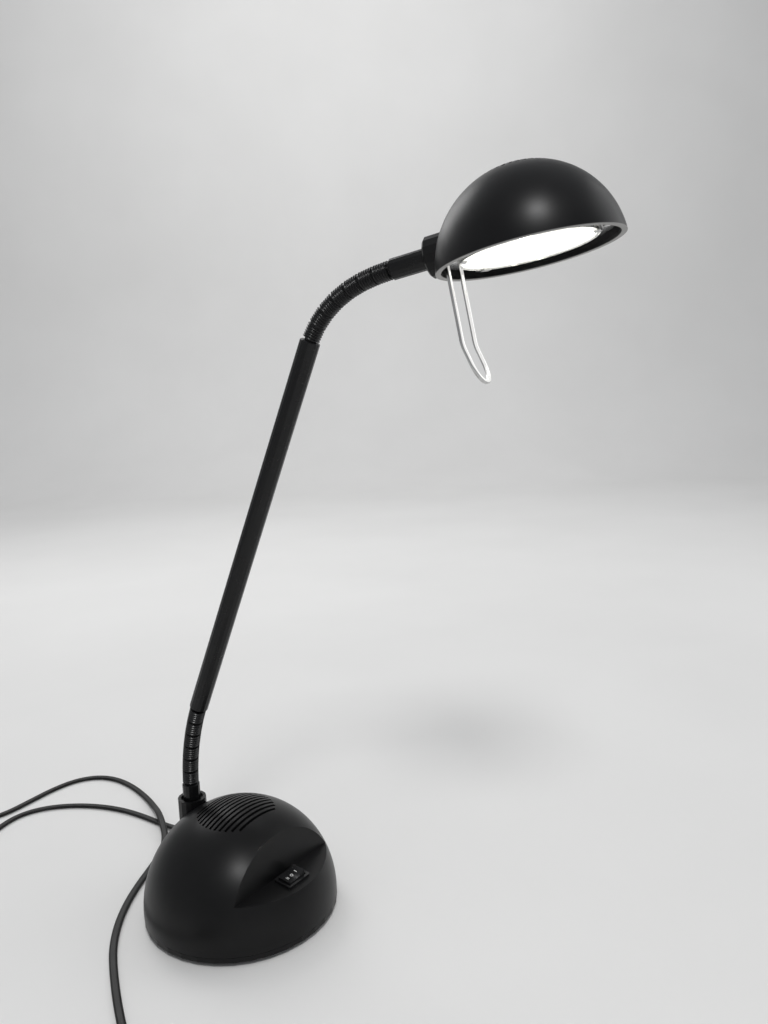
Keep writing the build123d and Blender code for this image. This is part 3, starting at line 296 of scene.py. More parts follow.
class Shader:
    """A material's nodes, with short calls for the few kinds that the lamp needs."""

    def __init__(self, name):
        self.material = bpy.data.materials.new(name)
        self.material.use_nodes = True
        self.tree = self.material.node_tree
        self.surface = self.tree.nodes["Principled BSDF"]
        coordinates = self.add("ShaderNodeTexCoord")
        self.place = coordinates.outputs["Object"]
        self.normal = coordinates.outputs["Normal"]

    def add(self, kind, **values):
        """A new node with its own settings."""
        node = self.tree.nodes.new(kind)
        for name, value in values.items():
            setattr(node, name, value)
        return node

    def link(self, source, target):
        """Joins an output to an input."""
        self.tree.links.new(source, target)

    def set(self, **values):
        """Sets the shader's own sockets, named with underscores for spaces."""
        for name, value in values.items():
            self.surface.inputs[name.replace("_", " ")].default_value = value

    def vector_maths(self, operation, first, second):
        """A node of vector arithmetic, fed by outputs or fixed vectors."""
        node = self.add("ShaderNodeVectorMath", operation=operation)
        for socket, value in zip(node.inputs, (first, second)):
            if isinstance(value, bpy.types.NodeSocket):
                self.link(value, socket)
            else:
                socket.default_value = value
        return node

    def stretched(self, stretch):
        """The place on the object, scaled along each axis."""
        mapping = self.add("ShaderNodeMapping")
        mapping.inputs["Scale"].default_value = stretch
        self.link(self.place, mapping.inputs["Vector"])
        return mapping.outputs["Vector"]

    def noise(self, scale, detail=3.0, stretch=(1, 1, 1)):
        """Cloudy noise, with spots of about 1/scale metres."""
        cloud = self.add("ShaderNodeTexNoise")
        cloud.inputs["Scale"].default_value = scale
        cloud.inputs["Detail"].default_value = detail
        self.link(self.stretched(stretch), cloud.inputs["Vector"])
        return cloud.outputs["Fac"]

    def ramp(self, factor, *stops):
        """Colours at places from 0 to 1 along a factor."""
        band = self.add("ShaderNodeValToRGB")
        while len(band.color_ramp.elements) < len(stops):
            band.color_ramp.elements.new(0.5)
        for element, (place, colour) in zip(band.color_ramp.elements, stops):
            element.position = place
            element.color = (*colour, 1.0)
        self.link(factor, band.inputs["Fac"])
        return band.outputs["Color"]

    def spread(self, factor, low, high, start=0.0, end=1.0, kind="LINEAR"):
        """A factor between start and end as a number between low and high."""
        scaled = self.add("ShaderNodeMapRange", interpolation_type=kind)
        scaled.inputs["From Min"].default_value = start
        scaled.inputs["From Max"].default_value = end
        scaled.inputs["To Min"].default_value = low
        scaled.inputs["To Max"].default_value = high
        self.link(factor, scaled.inputs["Value"])
        return scaled.outputs["Result"]

    def colour(self, output):
        """Base colour from an output."""
        self.link(output, self.surface.inputs["Base Color"])

    def roughness(self, output):
        """Roughness from an output."""
        self.link(output, self.surface.inputs["Roughness"])

    def glow(self, output, colour):
        """Light given off, as strong as an output says; it carries the painted lamplight."""
        self.link(output, self.surface.inputs["Emission Strength"])
        self.set(Emission_Color=colour)

    def facing(self, lamp_place):
        """How far the lamp stands in front of a surface, measured along its normal."""
        toward = self.vector_maths("SUBTRACT", lamp_place, self.place).outputs["Vector"]
        return self.vector_maths("DOT_PRODUCT", self.normal, toward).outputs["Value"]

    def painted_lip_light(self, place, up, depth, strength):
        """Painted lamplight on the edge of a mouth, given off as glow: full at a plane, gone a depth above
        it.
        """
        offset = self.vector_maths("SUBTRACT", self.place, place).outputs["Vector"]
        rise = self.vector_maths("DOT_PRODUCT", offset, up).outputs["Value"]
        self.glow(self.spread(rise, strength, 0.0, depth / 2, depth, "SMOOTHSTEP"), painted_lamplight_white)

    def painted_side_light(self, lamp_place, reach, strength):
        """Painted lamplight on the side towards a lamp, given off as glow: full where the lamp stands a reach
        in front of it.
        """
        front = self.facing(lamp_place)
        self.glow(self.spread(front, 0.0, strength, 0.0, reach, "SMOOTHSTEP"), painted_lamplight_white)

    def bump(self, height, strength, distance):
        """Relief from a height, distance in metres."""
        relief = self.add("ShaderNodeBump")
        relief.inputs["Strength"].default_value = strength
        relief.inputs["Distance"].default_value = distance
        self.link(height, relief.inputs["Height"])
        self.link(relief.outputs["Normal"], self.surface.inputs["Normal"])


# Makers of materials


def grained(name, dark, light, rough, grain_scale, grain, coat=0.0, specular=0.5, lip=None):
    """Moulded plastic: spark-eroded grain, and a faint change of shade from handling; a lip may have painted
    lamplight.
    """
    shader = Shader(name)
    shader.colour(shader.ramp(shader.noise(scale=24.0), (0.35, dark), (0.7, light)))
    shader.roughness(shader.spread(shader.noise(scale=60.0, detail=4.0), *rough))
    shader.bump(shader.noise(grain_scale, detail=2.0), strength=grain, distance=0.05 * mm)
    shader.set(Coat_Weight=coat, Coat_Roughness=0.25, Specular_IOR_Level=specular)
    if lip:
        shader.painted_lip_light(*lip)
    return shader.material


def metal(name, dark, light, rough, scale, stretch=(1, 1, 1), lamp=None):
    """Bare or plated metal with faint streaks; the side towards a lamp may have painted lamplight."""
    shader = Shader(name)
    streaks = shader.noise(scale, detail=4.0, stretch=stretch)
    shader.colour(shader.ramp(streaks, (0.3, dark), (0.75, light)))
    shader.roughness(shader.spread(shader.noise(scale * 0.6, stretch=stretch), *rough))
    shader.bump(streaks, strength=0.15, distance=0.02 * mm)
    shader.set(Metallic=1.0)
    if lamp:
        shader.painted_side_light(*lamp)
    return shader.material


def banded(name, dark, light, pitch, rough, metallic, axis):
    """Fine layers side by side, such as laminations or turns of wire."""
    shader = Shader(name)
    wave = shader.add("ShaderNodeTexWave", bands_direction=axis)
    wave.inputs["Scale"].default_value = 2 * math.pi / (wave_radians * pitch)
    wave.inputs["Distortion"].default_value = 0.6
    shader.link(shader.place, wave.inputs["Vector"])
    shader.colour(shader.ramp(wave.outputs["Fac"], (0.1, dark), (0.6, light)))
    shader.roughness(shader.spread(shader.noise(scale=200.0), *rough))
    shader.bump(wave.outputs["Fac"], strength=0.5, distance=0.1 * mm)
    shader.set(Metallic=metallic)
    return shader.material


def painted_glow_mirror(name, dark, light, lamp_place, reach, strength):
    """Bright pressed sheet with painted lamplight: its lamp side glows near the lamp."""
    shader = Shader(name)
    dimples = shader.noise(scale=900.0, detail=1.0)
    shader.colour(shader.ramp(shader.noise(scale=40.0), (0.3, dark), (0.7, light)))
    shader.roughness(shader.spread(dimples, low=0.16, high=0.28))
    shader.bump(dimples, strength=0.3, distance=0.1 * mm)
    shader.set(Metallic=0.9)
    # Painted lamplight: glow strongest near the lamp, only on the side that faces it
    distance = shader.vector_maths("DISTANCE", shader.place, lamp_place).outputs["Value"]
    lamp_side = shader.add("ShaderNodeMath", operation="GREATER_THAN")
    lamp_side.inputs[1].default_value = 0.0
    shader.link(shader.facing(lamp_place), lamp_side.inputs[0])
    lit = shader.add("ShaderNodeMath", operation="MULTIPLY")
    shader.link(shader.spread(distance, *strength, *reach, "SMOOTHSTEP"), lit.inputs[0])
    shader.link(lamp_side.outputs["Value"], lit.inputs[1])
    shader.glow(lit.outputs["Value"], painted_reflector_glow)
    return shader.material


def clear_glass(name, strength):
    """Glass with a faint haze of dust."""
    shader = Shader(name)
    haze = shader.noise(scale=120.0, detail=5.0)
    shader.roughness(shader.spread(haze, low=0.0, high=0.06))
    shader.colour(shader.ramp(haze, (0.3, (0.98, 1.0, 0.99)), (0.8, (0.93, 0.96, 0.95))))
    shader.set(Transmission_Weight=1.0, IOR=1.46, Emission_Color=capsule_white, Emission_Strength=strength)
    return shader.material


def glowing(name, colour, strength):
    """The hot coil of the lamp."""
    shader = Shader(name)
    grain = shader.noise(scale=3000.0)
    shader.colour(shader.ramp(grain, (0.3, (0.5, 0.45, 0.4)), (0.7, (0.8, 0.75, 0.7))))
    shader.set(Emission_Color=colour, Emission_Strength=strength)
    return shader.material


def studio_paper(name):
    """Pale matt paper, faintly uneven."""
    shader = Shader(name)
    clouds = shader.noise(scale=3.0)
    shader.colour(shader.ramp(clouds, (0.3, (0.77, 0.765, 0.755)), (0.7, (0.80, 0.795, 0.785))))
    shader.roughness(shader.spread(shader.noise(scale=30.0), low=0.7, high=0.85))
    return shader.material


# Materials, and the CAD pieces that have them

lamp_low, lamp_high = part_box("bulb_envelope")
lamp_middle = (lamp_low + lamp_high) / 2
deep_black = (0.0035, 0.0035, 0.0038)
worn_black = (0.0065, 0.0065, 0.0068)

black_moulding = grained(
    "black_moulding", deep_black, worn_black, rough=(0.3, 0.4), grain_scale=2600.0, grain=0.35, specular=0.22,
)
# The shade's plastic, with painted lamplight glowing on the lip of its mouth
shade_moulding = grained(
    "shade_moulding", (0.0035, 0.0035, 0.0040), (0.0065, 0.0065, 0.0072),
    rough=(0.32, 0.42), grain_scale=2600.0, grain=0.3, specular=0.22, lip=(rim_place, rim_up, 0.5 * mm, 0.13),
)
black_satin = grained(
    "black_satin", deep_black, worn_black, rough=(0.22, 0.32), grain_scale=900.0, grain=0.12, specular=0.28,
)
black_sleeve = grained(
    "black_sleeve", deep_black, worn_black, rough=(0.22, 0.32), grain_scale=1800.0, grain=0.15, specular=0.4,
)
black_gloss = grained(
    "black_gloss", (0.006, 0.006, 0.0065), (0.011, 0.011, 0.0115),
    rough=(0.18, 0.28), grain_scale=1600.0, grain=0.12, coat=0.15, specular=0.4,
)
flex_vinyl = grained(
    "flex_vinyl", (0.0035, 0.0035, 0.0035), (0.0075, 0.007, 0.007),
    rough=(0.34, 0.46), grain_scale=700.0, grain=0.2, specular=0.25,
)
foam_rubber = grained(
    "foam_rubber", (0.018, 0.018, 0.018), (0.05, 0.05, 0.05),
    rough=(0.85, 0.95), grain_scale=1500.0, grain=0.9,
)
white_moulding = grained(
    "white_moulding", (0.62, 0.61, 0.57), (0.74, 0.73, 0.69),
    rough=(0.4, 0.52), grain_scale=1200.0, grain=0.2,
)
ceramic = grained(
    "ceramic", (0.66, 0.63, 0.56), (0.78, 0.76, 0.70),
    rough=(0.2, 0.34), grain_scale=700.0, grain=0.25, coat=0.3,
)
mark_paint = grained(
    "mark_paint", (0.66, 0.66, 0.64), (0.8, 0.8, 0.78), rough=(0.45, 0.6), grain_scale=4000.0, grain=0.2,
)
plated_steel = metal("plated_steel", (0.45, 0.45, 0.44), (0.66, 0.66, 0.65), rough=(0.22, 0.4), scale=300.0)
# Chrome wire; its side towards the lamp has painted lamplight, a glow
bright_wire_painted_glow = metal(
    "bright_wire_painted_glow", (0.5, 0.5, 0.5), (0.66, 0.66, 0.65),
    rough=(0.16, 0.26), scale=260.0, stretch=(1, 1, 0.12), lamp=(lamp_middle, 14.0 * mm, 0.6),
)
brass = metal("brass", (0.6, 0.44, 0.17), (0.78, 0.6, 0.28), rough=(0.2, 0.36), scale=400.0)
core_sheets = banded(
    "core_sheets", (0.10, 0.10, 0.11), (0.27, 0.27, 0.28),
    pitch=0.5 * mm, rough=(0.35, 0.55), metallic=0.8, axis="Z",
)
copper_turns = banded(
    "copper_turns", (0.25, 0.09, 0.03), (0.58, 0.25, 0.09),
    pitch=0.6 * mm, rough=(0.25, 0.42), metallic=0.7, axis="Y",
)
# Reflector whose lamp side has painted lamplight, a glow near the bulb
painted_glow_reflector = painted_glow_mirror(
    "painted_glow_reflector", (0.72, 0.72, 0.73), (0.86, 0.86, 0.85),
    lamp_place=lamp_middle, reach=(40.0 * mm, 43.0 * mm), strength=(1.6, 0.1),
)
pane_glass = clear_glass("pane_glass", strength=0.0)
capsule_glass = clear_glass("capsule_glass", strength=3.0)
hot_filament = glowing("hot_filament", filament_white, strength=20.0)

finish_of = {
    black_moulding: ("base_shell", "base_plate", "neck_socket", "head_saddle"),
    shade_moulding: ("shade",),
    black_satin: ("arm_tube", "lower_ferrule", "tube_foot", "tube_head", "upper_ferrule", "cord_clamp"),
    black_sleeve: neck_links,
    black_gloss: ("switch_body", "rocker"),
    flex_vinyl: ("cord_lead", "cord_coil", "cord_bush", "inner_lead", "plug_body", "cord_tie"),
    foam_rubber: ("foot_pad",),
    white_moulding: ("transformer_bobbin", "terminal_block", "socket_nut"),
    ceramic: ("lamp_holder",),
    plated_steel: (
        "base_screws", "core_bolts", "clamp_screws", "saddle_nut", "reflector_screws", "glass_clips",
        "holder_screws", "bulb_pins",
    ),
    bright_wire_painted_glow: ("handle",),
    brass: ("switch_terminals", "plug_pins"),
    core_sheets: ("transformer_core",),
    copper_turns: ("primary_winding", "secondary_winding"),
    painted_glow_reflector: ("reflector",),
    pane_glass: ("front_glass",),
    capsule_glass: ("bulb_envelope",),
    hot_filament: ("bulb_filament",),
}


def shade_smooth(mesh, angle):
    """Rounds the shading over edges flatter than an angle in degrees."""
    mesh.polygons.foreach_set("use_smooth", [True] * len(mesh.polygons))
    mesh.set_sharp_from_angle(angle=math.radians(angle))


def rounded_edges(name, width):
    """Small round edges on a moulded piece."""
    edge = nodes[name].modifiers.new("edges", "BEVEL")
    edge.width = width
    edge.segments = edge_segments
    edge.limit_method = "ANGLE"
    edge.angle_limit = edge_angle


for material, names in finish_of.items():
    for name in names:
        mesh = nodes[name].data
        mesh.materials.clear()
        mesh.materials.append(material)
        shade_smooth(mesh, plain_smoothing)
for name, width in edge_widths.items():
    rounded_edges(name, width)

# Helpers for drawn pieces


def in_scene(name, data):
    """A new object in the scene."""
    thing = bpy.data.objects.new(name, data)
    bpy.context.scene.collection.objects.link(thing)
    return thing


def new_mesh(name, vertices, faces):
    """A mesh from places and the faces between them."""
    mesh = bpy.data.meshes.new(name)
    mesh.from_pydata([tuple(vertex) for vertex in vertices], [], faces)
    return mesh


def new_piece(name, vertices, faces, material, body, slot, smoothing=plain_smoothing):
    """A mesh piece that rides on a CAD body."""
    mesh = new_mesh(name, vertices, faces)
    mesh.validate()
    mesh.materials.append(material)
    shade_smooth(mesh, smoothing)
    piece = in_scene(name, mesh)
    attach(piece, body)
    return piece


def turns(count):
    """Angles evenly round a circle."""
    return [2 * math.pi * step / count for step in range(count)]


def soft_square(angle, power):
    """A point on a square with round corners, one unit from its middle to its sides."""
    x, y = math.cos(angle), math.sin(angle)
    reach = (abs(x) ** power + abs(y) ** power) ** (-1 / power)
    return x * reach, y * reach


def heading_at(path, step):
    """Direction of a path at one of its points."""
    return (path[min(step + 1, len(path) - 1)] - path[max(step - 1, 0)]).normalized()


def skin(rings, count):
    """Faces over rings of vertices that follow each other, with both ends closed."""
    faces = []
    for ring_number in range(rings - 1):
        for side in range(count):
            near = ring_number * count + side
            following = ring_number * count + (side + 1) % count
            faces.append((near, following, following + count, near + count))
    return faces + [tuple(range(count))[::-1], tuple(range((rings - 1) * count, rings * count))]


# Flex: one smooth line through the route and the coil

coil_ahead = Vector((math.cos(coil_heading), math.sin(coil_heading), 0))
coil_aside = Vector((-coil_ahead.y, coil_ahead.x, 0))
coil_middle = Vector(lead_route[-1]) + coil_ahead * coil_end_run - coil_aside * coil_radius


def coil_ends():
    """Ends of the coil's half circles, on both sides of it by turns."""
    ends = []
    for turn, inward in enumerate(coil_steps):
        reach = coil_radius - inward * coil_pitch / 2
        lift = coil_layer if turn >= coil_climb else 0.0
        ends.append(coil_middle + coil_aside * (reach if turn % 2 == 0 else -reach) + upward * lift)
    return ends


def coil_points():
    """Points round the coil's half circles, and along its tail."""
    ends = coil_ends()
    points = [ends[0]]
    bulge = 1 / math.cos(math.pi / half_turn_points / 2)
    for turn, (here, there) in enumerate(zip(ends, ends[1:])):
        middle = (here + there) / 2
        across = coil_ahead * (there - here).length / 2 * (1 if turn % 2 == 0 else -1)
        for step in range(half_turn_points):
            angle = math.pi * (step + 0.5) / half_turn_points
            along = (here - middle) * math.cos(angle) + across * math.sin(angle)
            points.append(middle + along * bulge)
    return points + [ends[-1] + coil_ahead * coil_tail * share for share in coil_tail_stops]


def smooth_line(points):
    """Points along the NURBS line that has the given points as its control points."""
    curve = bpy.data.curves.new("flex_line", "CURVE")
    curve.dimensions = "3D"
    curve.resolution_u = flex_line_steps
    spline = curve.splines.new("NURBS")
    spline.points.add(len(points) - 1)
    for control, place in zip(spline.points, points):
        control.co = (*place, 1.0)
    spline.order_u = 3
    spline.use_endpoint_u = True
    line = in_scene("flex_line", curve)
    bpy.context.view_layer.update()
    sampled = bpy.data.meshes.new_from_object(line)
    path = [vertex.co.copy() for vertex in sampled.vertices]
    bpy.data.objects.remove(line)
    return path


def twin_profile():
    """Flat twin flex, cut across: two round cores joined by a narrow waist."""
    profile = []
    for angle in turns(flex_sides):
        waist = 1 - (1 - flex_waist_share) * math.sin(angle) ** flex_waist_power
        profile.append((flex_width / 2 * math.cos(angle), flex_thickness / 2 * math.sin(angle) * waist))
    return profile


def swept(path, profile):
    """Vertices and faces of a profile carried along a path, its flat side level."""
    vertices = []
    for step, here in enumerate(path):
        along = heading_at(path, step)
        aside = upward.cross(along).normalized()
        up = along.cross(aside)
        vertices += [here + aside * x + up * y for x, y in profile]
    return vertices, skin(len(path), len(profile))


flex_path = smooth_line([Vector(place) for place in lead_route] + coil_points())
flex_shape = swept(flex_path, twin_profile())
flex = new_piece("flex", *flex_shape, flex_vinyl, "base", "cord_plastic", wire_smoothing)
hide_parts("cord_lead", "cord_coil")

# Local places: in the shade, at the lead's outlet, on the notch's ledge and round the neck socket

shade_y = Vector(joints["upper_neck_bend_5"]["axis"]).normalized()
shade_x = shade_y.cross(rim_up).normalized()
outlet_away = Vector((math.sin(outlet_turn), math.cos(outlet_turn), 0))
outlet_aside = Vector((math.cos(outlet_turn), -math.sin(outlet_turn), 0))
outlet_place = outlet_away * base_radius + upward * outlet_height
switch_slope = Matrix.Rotation(ledge_fall, 3, "X")
switch_height = crease_height - (switch_front - crease_front) * math.tan(ledge_fall)
switch_middle = Vector((0, -switch_front, switch_height))


def upright(x, y, z):
    """Place in the lamp's own directions, from the middle of its foot."""
    return Vector((x, y, z))


def in_shade(x, y, z):
    """Place in the shade's own directions, from the middle of its rim."""
    return rim_place + shade_x * x + shade_y * y + rim_up * z


def at_socket(x, y, z):
    """Place about the upright middle line of the neck socket."""
    return Vector((x, y + socket_back, z))


def at_outlet(point, reach):
    """Place across the outlet, a reach outwards."""
    return outlet_place + outlet_away * reach + outlet_aside * point[0] + upward * point[1]


def on_ledge(point, height):
    """Place on the notch's sloped ledge, from the middle of the switch."""
    return switch_middle + switch_slope @ Vector((*point, height))


def sideways(point, reach):
    """Place of a point in the base's side view, a reach along x."""
    return Vector((reach, *point))


# Shells: solids of revolution with their hollows, slots and holes cut out


def rough_solid(vertices, faces):
    """A solid that only helps to make another one."""
    return in_scene("rough_solid", new_mesh("rough_solid", vertices, faces))


def round_solid(place, profile, count):
    """Solid of revolution; place makes a point from local ones, profile runs up from the foot."""
    vertices = []
    for radius, rise in profile:
        for angle in turns(count):
            vertices.append(place(radius * math.cos(angle), radius * math.sin(angle), rise))
    return rough_solid(vertices, skin(len(profile), count))


def prism(place, outline, low, high):
    """Solid between two copies of an outline; place takes a point of it and a height."""
    vertices = [place(point, height) for height in (low, high) for point in outline]
    return rough_solid(vertices, skin(2, len(outline)))


def box_outline(length, width, middle=(0.0, 0.0)):
    """Corners of a rectangle."""
    corners = ((1, 1), (-1, 1), (-1, -1), (1, -1))
    return [(middle[0] + x * length / 2, middle[1] + y * width / 2) for x, y in corners]


def dome_profile(radius, middle, foot):
    """Radius and height from a height on a ball's side to almost its top."""
    start = math.asin((foot - middle) / radius)
    rises = [start + (dome_top - start) * step / dome_rings for step in range(dome_rings + 1)]
    return [(radius * math.cos(rise), middle + radius * math.sin(rise)) for rise in rises]


def notch_outline(grow):
    """Side view of the switch's notch, moved into the base by a wall."""
    crease_y, crease_z = -crease_front + grow, crease_height - grow
    rise = base_radius + cut_overrun
    front = -base_radius - cut_overrun
    return [
        (crease_y, crease_z),
        (crease_y + rise * math.tan(notch_wall_lean), crease_z + rise),
        (front, crease_z + rise),
        (front, crease_z + (front - crease_y) * math.tan(ledge_fall)),
    ]


def slots(place, vents, low, high, along_x):
    """Straight slots side by side, with their ends on a circle."""

    def in_patch(point, height):
        return place(*point, height)

    count, pitch, width, patch = vents
    cutters = []
    for step in range(count):
        aside = (step - (count - 1) / 2) * pitch
        length = 2 * math.sqrt(patch**2 - aside**2)
        if along_x:
            outline = box_outline(length, width, (0.0, aside))
        else:
            outline = box_outline(width, length, (aside, 0.0))
        cutters.append(prism(in_patch, outline, low, high))
    return cutters


def carved(solid, cutters):
    """The solid's mesh with the cutters taken out; all of them are removed from the scene."""
    for cutter in cutters:
        cut = solid.modifiers.new("cut", "BOOLEAN")
        cut.operation = "DIFFERENCE"
        cut.solver = "EXACT"
        cut.object = cutter
    bpy.context.view_layer.update()
    mesh = bpy.data.meshes.new_from_object(solid.evaluated_get(bpy.context.evaluated_depsgraph_get()))
    for used in (solid, *cutters):
        bpy.data.objects.remove(used)
    return mesh


def base_hollow():
    """The space inside the base, which keeps a wall behind the notch."""
    radius = base_radius - base_wall
    profile = [(radius, -cut_overrun)] + dome_profile(radius, base_middle, base_middle)
    behind_notch = prism(sideways, notch_outline(base_wall), -base_radius, base_radius)
    return in_scene("rough_solid", carved(round_solid(upright, profile, dome_sides), [behind_notch]))


def base_holes():
    """Cutters for the switch, the lead, the neck socket and its stem."""
    top = base_middle + base_radius
    socket_seat = base_middle + math.sqrt(base_radius**2 - socket_back**2) - socket_sink
    stem_foot = socket_seat - 4 * cut_overrun
    return [
        prism(on_ledge, box_outline(*switch_hole), -cut_overrun, cut_overrun),
        prism(at_outlet, box_outline(*outlet_hole), -2 * cut_overrun, 2 * cut_overrun),
        round_solid(at_socket, [(socket_hole, socket_seat), (socket_hole, top)], socket_sides),
        round_solid(at_socket, [(stem_hole, stem_foot), (stem_hole, top)], socket_sides),
    ]


def carved_base():
    """Mesh of the base's shell."""
    profile = [(base_radius, seam_height)] + dome_profile(base_radius, base_middle, base_middle)
    solid = round_solid(upright, profile, dome_sides)
    side = base_radius + cut_overrun
    notch = prism(sideways, notch_outline(0.0), -side, side)
    vents = slots(upright, base_vents, base_middle + base_radius / 2, base_middle + side, True)
    return carved(solid, [notch, base_hollow(), *base_holes(), *vents])


def carved_shade():
    """Mesh of the shade's shell."""
    solid = round_solid(in_shade, dome_profile(shade_radius, shade_drop, 0.0), dome_sides)
    inside = dome_profile(shade_radius - shade_wall, shade_drop, shade_lip)
    mouth = [(shade_mouth, -cut_overrun), (shade_mouth, shade_lip + shade_wall)]
    hollows = [round_solid(in_shade, profile, dome_sides) for profile in (inside, mouth)]
    vents = slots(in_shade, shade_vents, shade_height * 2 / 3, shade_height + cut_overrun, False)
    return carved(solid, hollows + vents)


def shade_round(mesh, middle, radius):
    """Shades the flat faces on a ball as the ball itself."""
    normals = [corner.vector.copy() for corner in mesh.corner_normals]
    for face in mesh.polygons:
        for corner in face.loop_indices:
            out = mesh.vertices[mesh.loops[corner].vertex_index].co - middle
            on_ball = abs(out.length / radius - 1) < ball_tolerance
            if on_ball and out.normalized().dot(face.normal) > ball_facing:
                normals[corner] = out.normalized()
    mesh.normals_split_custom_set(normals)


def shell_piece(name, mesh, material, middle, radius, body, node):
    """A carved shell, shaded as the ball that it is part of."""
    mesh.materials.clear()
    mesh.materials.append(material)
    shade_smooth(mesh, plain_smoothing)
    shade_round(mesh, middle, radius)
    piece = in_scene(name, mesh)
    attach(piece, body)
    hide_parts(node)


base_ball = upward * base_middle
shade_ball = rim_place + rim_up * shade_drop
shell_piece("round_base", carved_base(), black_moulding, base_ball, base_radius, "base", "base_shell")
shell_piece("round_shade", carved_shade(), shade_moulding, shade_ball, shade_radius, "head", "shade")

# Neck links, turned about the line from pivot to pivot


def link_profile(length, seat, ball):
    """Closed section of a link: places along it and radii, with a seat at one end and a ball at the other."""
    profile = [(seat * seat_floor_share, neck_bore)]
    profile += [(seat * math.sin(turn), seat * math.cos(turn)) for turn in seat_turns]
    profile.append((link_gap, math.sqrt(seat**2 - link_gap**2)))
    steps = round(length / rib_pitch) * rib_steps
    for step in range(steps + 1):
        reach = link_gap + (length - 2 * link_gap) * step / steps
        wave = 0.5 - 0.5 * math.cos(2 * math.pi * reach / rib_pitch)
        profile.append((reach, groove_radius + (neck_radius - groove_radius) * wave))
    first = -math.asin(link_gap / ball)
    for step in range(ball_steps + 1):
        turn = first + (ball_turn - first) * step / ball_steps
        profile.append((length + ball * math.sin(turn), ball * math.cos(turn)))
    return profile + [(length + ball * math.sin(ball_turn), neck_bore)]


def turned_piece(start, along, profile, count):
    """Vertices and faces of a closed section turned about a line."""
    aside = along.orthogonal().normalized()
    across = along.cross(aside)
    vertices = []
    for angle in turns(count):
        out = aside * math.cos(angle) + across * math.sin(angle)
        vertices += [start + along * reach + out * radius for reach, radius in profile]
    size = len(profile)
    faces = []
    for step in range(count):
        here, following = step * size, (step + 1) % count * size
        for place in range(size):
            after = (place + 1) % size
            faces.append((here + place, following + place, following + after, here + after))
    return vertices, faces


near_pivot = {joint["child"]: Vector(joint["pos_m"]) for joint in frame["joints"]}
far_pivot = {joint["parent"]: Vector(joint["pos_m"]) for joint in frame["joints"]}
below = {joint["child"]: joint["parent"] for joint in frame["joints"]}
above = {joint["parent"]: joint["child"] for joint in frame["joints"]}
for name in neck_links:
    along = far_pivot[name] - near_pivot[name]
    seat = joint_seat if below[name] in neck_links else end_seat
    ball = joint_ball if above[name] in neck_links else end_ball
    section = link_profile(along.length, seat, ball)
    shape = turned_piece(near_pivot[name], along.normalized(), section, link_sides)
    sleeve = new_piece(name + "_sleeve", *shape, black_sleeve, name, "black_neck", link_smoothing)
    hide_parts(name)

# Wire handle: straight runs with round bends between them


def handle_leg(side):
    """Corners of one leg, from its foot in the shade to the tip."""
    tip_inset = handle_inset - (handle_drop - handle_straight) * math.tan(handle_lean)
    corners = ((handle_inset, handle_foot), (handle_inset, -handle_straight), (tip_inset, -handle_drop))
    return [in_shade(-inset, side * handle_spread / 2, rise) for inset, rise in corners]


def bent_wire(corners, radii):
    """Places along runs between corners, with an arc of its own radius at each inner corner."""
    path = [corners[0]]
    for before, here, after, radius in zip(corners, corners[1:], corners[2:], radii):
        back, ahead = (before - here).normalized(), (after - here).normalized()
        half = back.angle(ahead) / 2
        middle = here + (back + ahead).normalized() * radius / math.sin(half)
        first, last = here + back * radius / math.tan(half), here + ahead * radius / math.tan(half)
        for step in range(bend_steps + 1):
            path.append(middle + (first - middle).slerp(last - middle, step / bend_steps) * radius)
    return path + [corners[-1]]


def round_wire(path, radius):
    """Vertices and faces of a round wire along a path, its section carried without twist."""
    vertices = []
    aside = (path[1] - path[0]).orthogonal().normalized()
    for step, here in enumerate(path):
        along = heading_at(path, step)
        aside = (aside - along * aside.dot(along)).normalized()
        across = along.cross(aside)
        for angle in turns(wire_sides):
            vertices.append(here + (aside * math.cos(angle) + across * math.sin(angle)) * radius)
    return vertices, skin(len(path), wire_sides)


handle_corners = handle_leg(1) + handle_leg(-1)[::-1]
handle_path = bent_wire(handle_corners, (handle_kink, handle_tip, handle_tip, handle_kink))
handle_shape = round_wire(handle_path, handle_wire)
handle_piece = new_piece("handle_wire", *handle_shape, bright_wire_painted_glow, "head", "chrome_wire", wire_smoothing)
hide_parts("handle")

# Bush: a square-sided sleeve with ribs, narrower towards its tip


def bush_section(half_width, half_height):
    """Points round a rectangle with large round corners."""
    half_step = math.pi / bush_sides
    corners = [soft_square(angle + half_step, bush_squareness) for angle in turns(bush_sides)]
    return [(x * half_width, y * half_height) for x, y in corners]


def bush_stations():
    """Places along the bush with its half width and half height there."""
    stations = [(reach, *bush_flange_half) for reach in bush_flange_reach]
    stations += [(bush_flange_reach[1], *bush_root_half), (bush_taper_reach[0], *bush_root_half)]
    start, end = bush_taper_reach
    ends = list(zip(bush_root_half, bush_tip_half))
    for rib in range(bush_ribs):
        for stop, size in bush_rib_stops:
            along = (rib + stop) / bush_ribs
            halves = [(root + (tip - root) * along) * size for root, tip in ends]
            stations.append((start + (end - start) * along, *halves))
    return stations + [(end, *bush_tip_half)]


def bush_shape():
    """Vertices and faces of the bush; its sections run clockwise, so its faces are turned round."""
    stations = bush_stations()
    vertices = []
    for reach, half_width, half_height in stations:
        vertices += [at_outlet(point, reach) for point in bush_section(half_width, half_height)]
    return vertices, [face[::-1] for face in skin(len(stations), bush_sides)]


bush_piece = new_piece("ribbed_bush", *bush_shape(), flex_vinyl, "base", "cord_plastic", bend_smoothing)
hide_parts("cord_bush")

# Strap that ties the coil


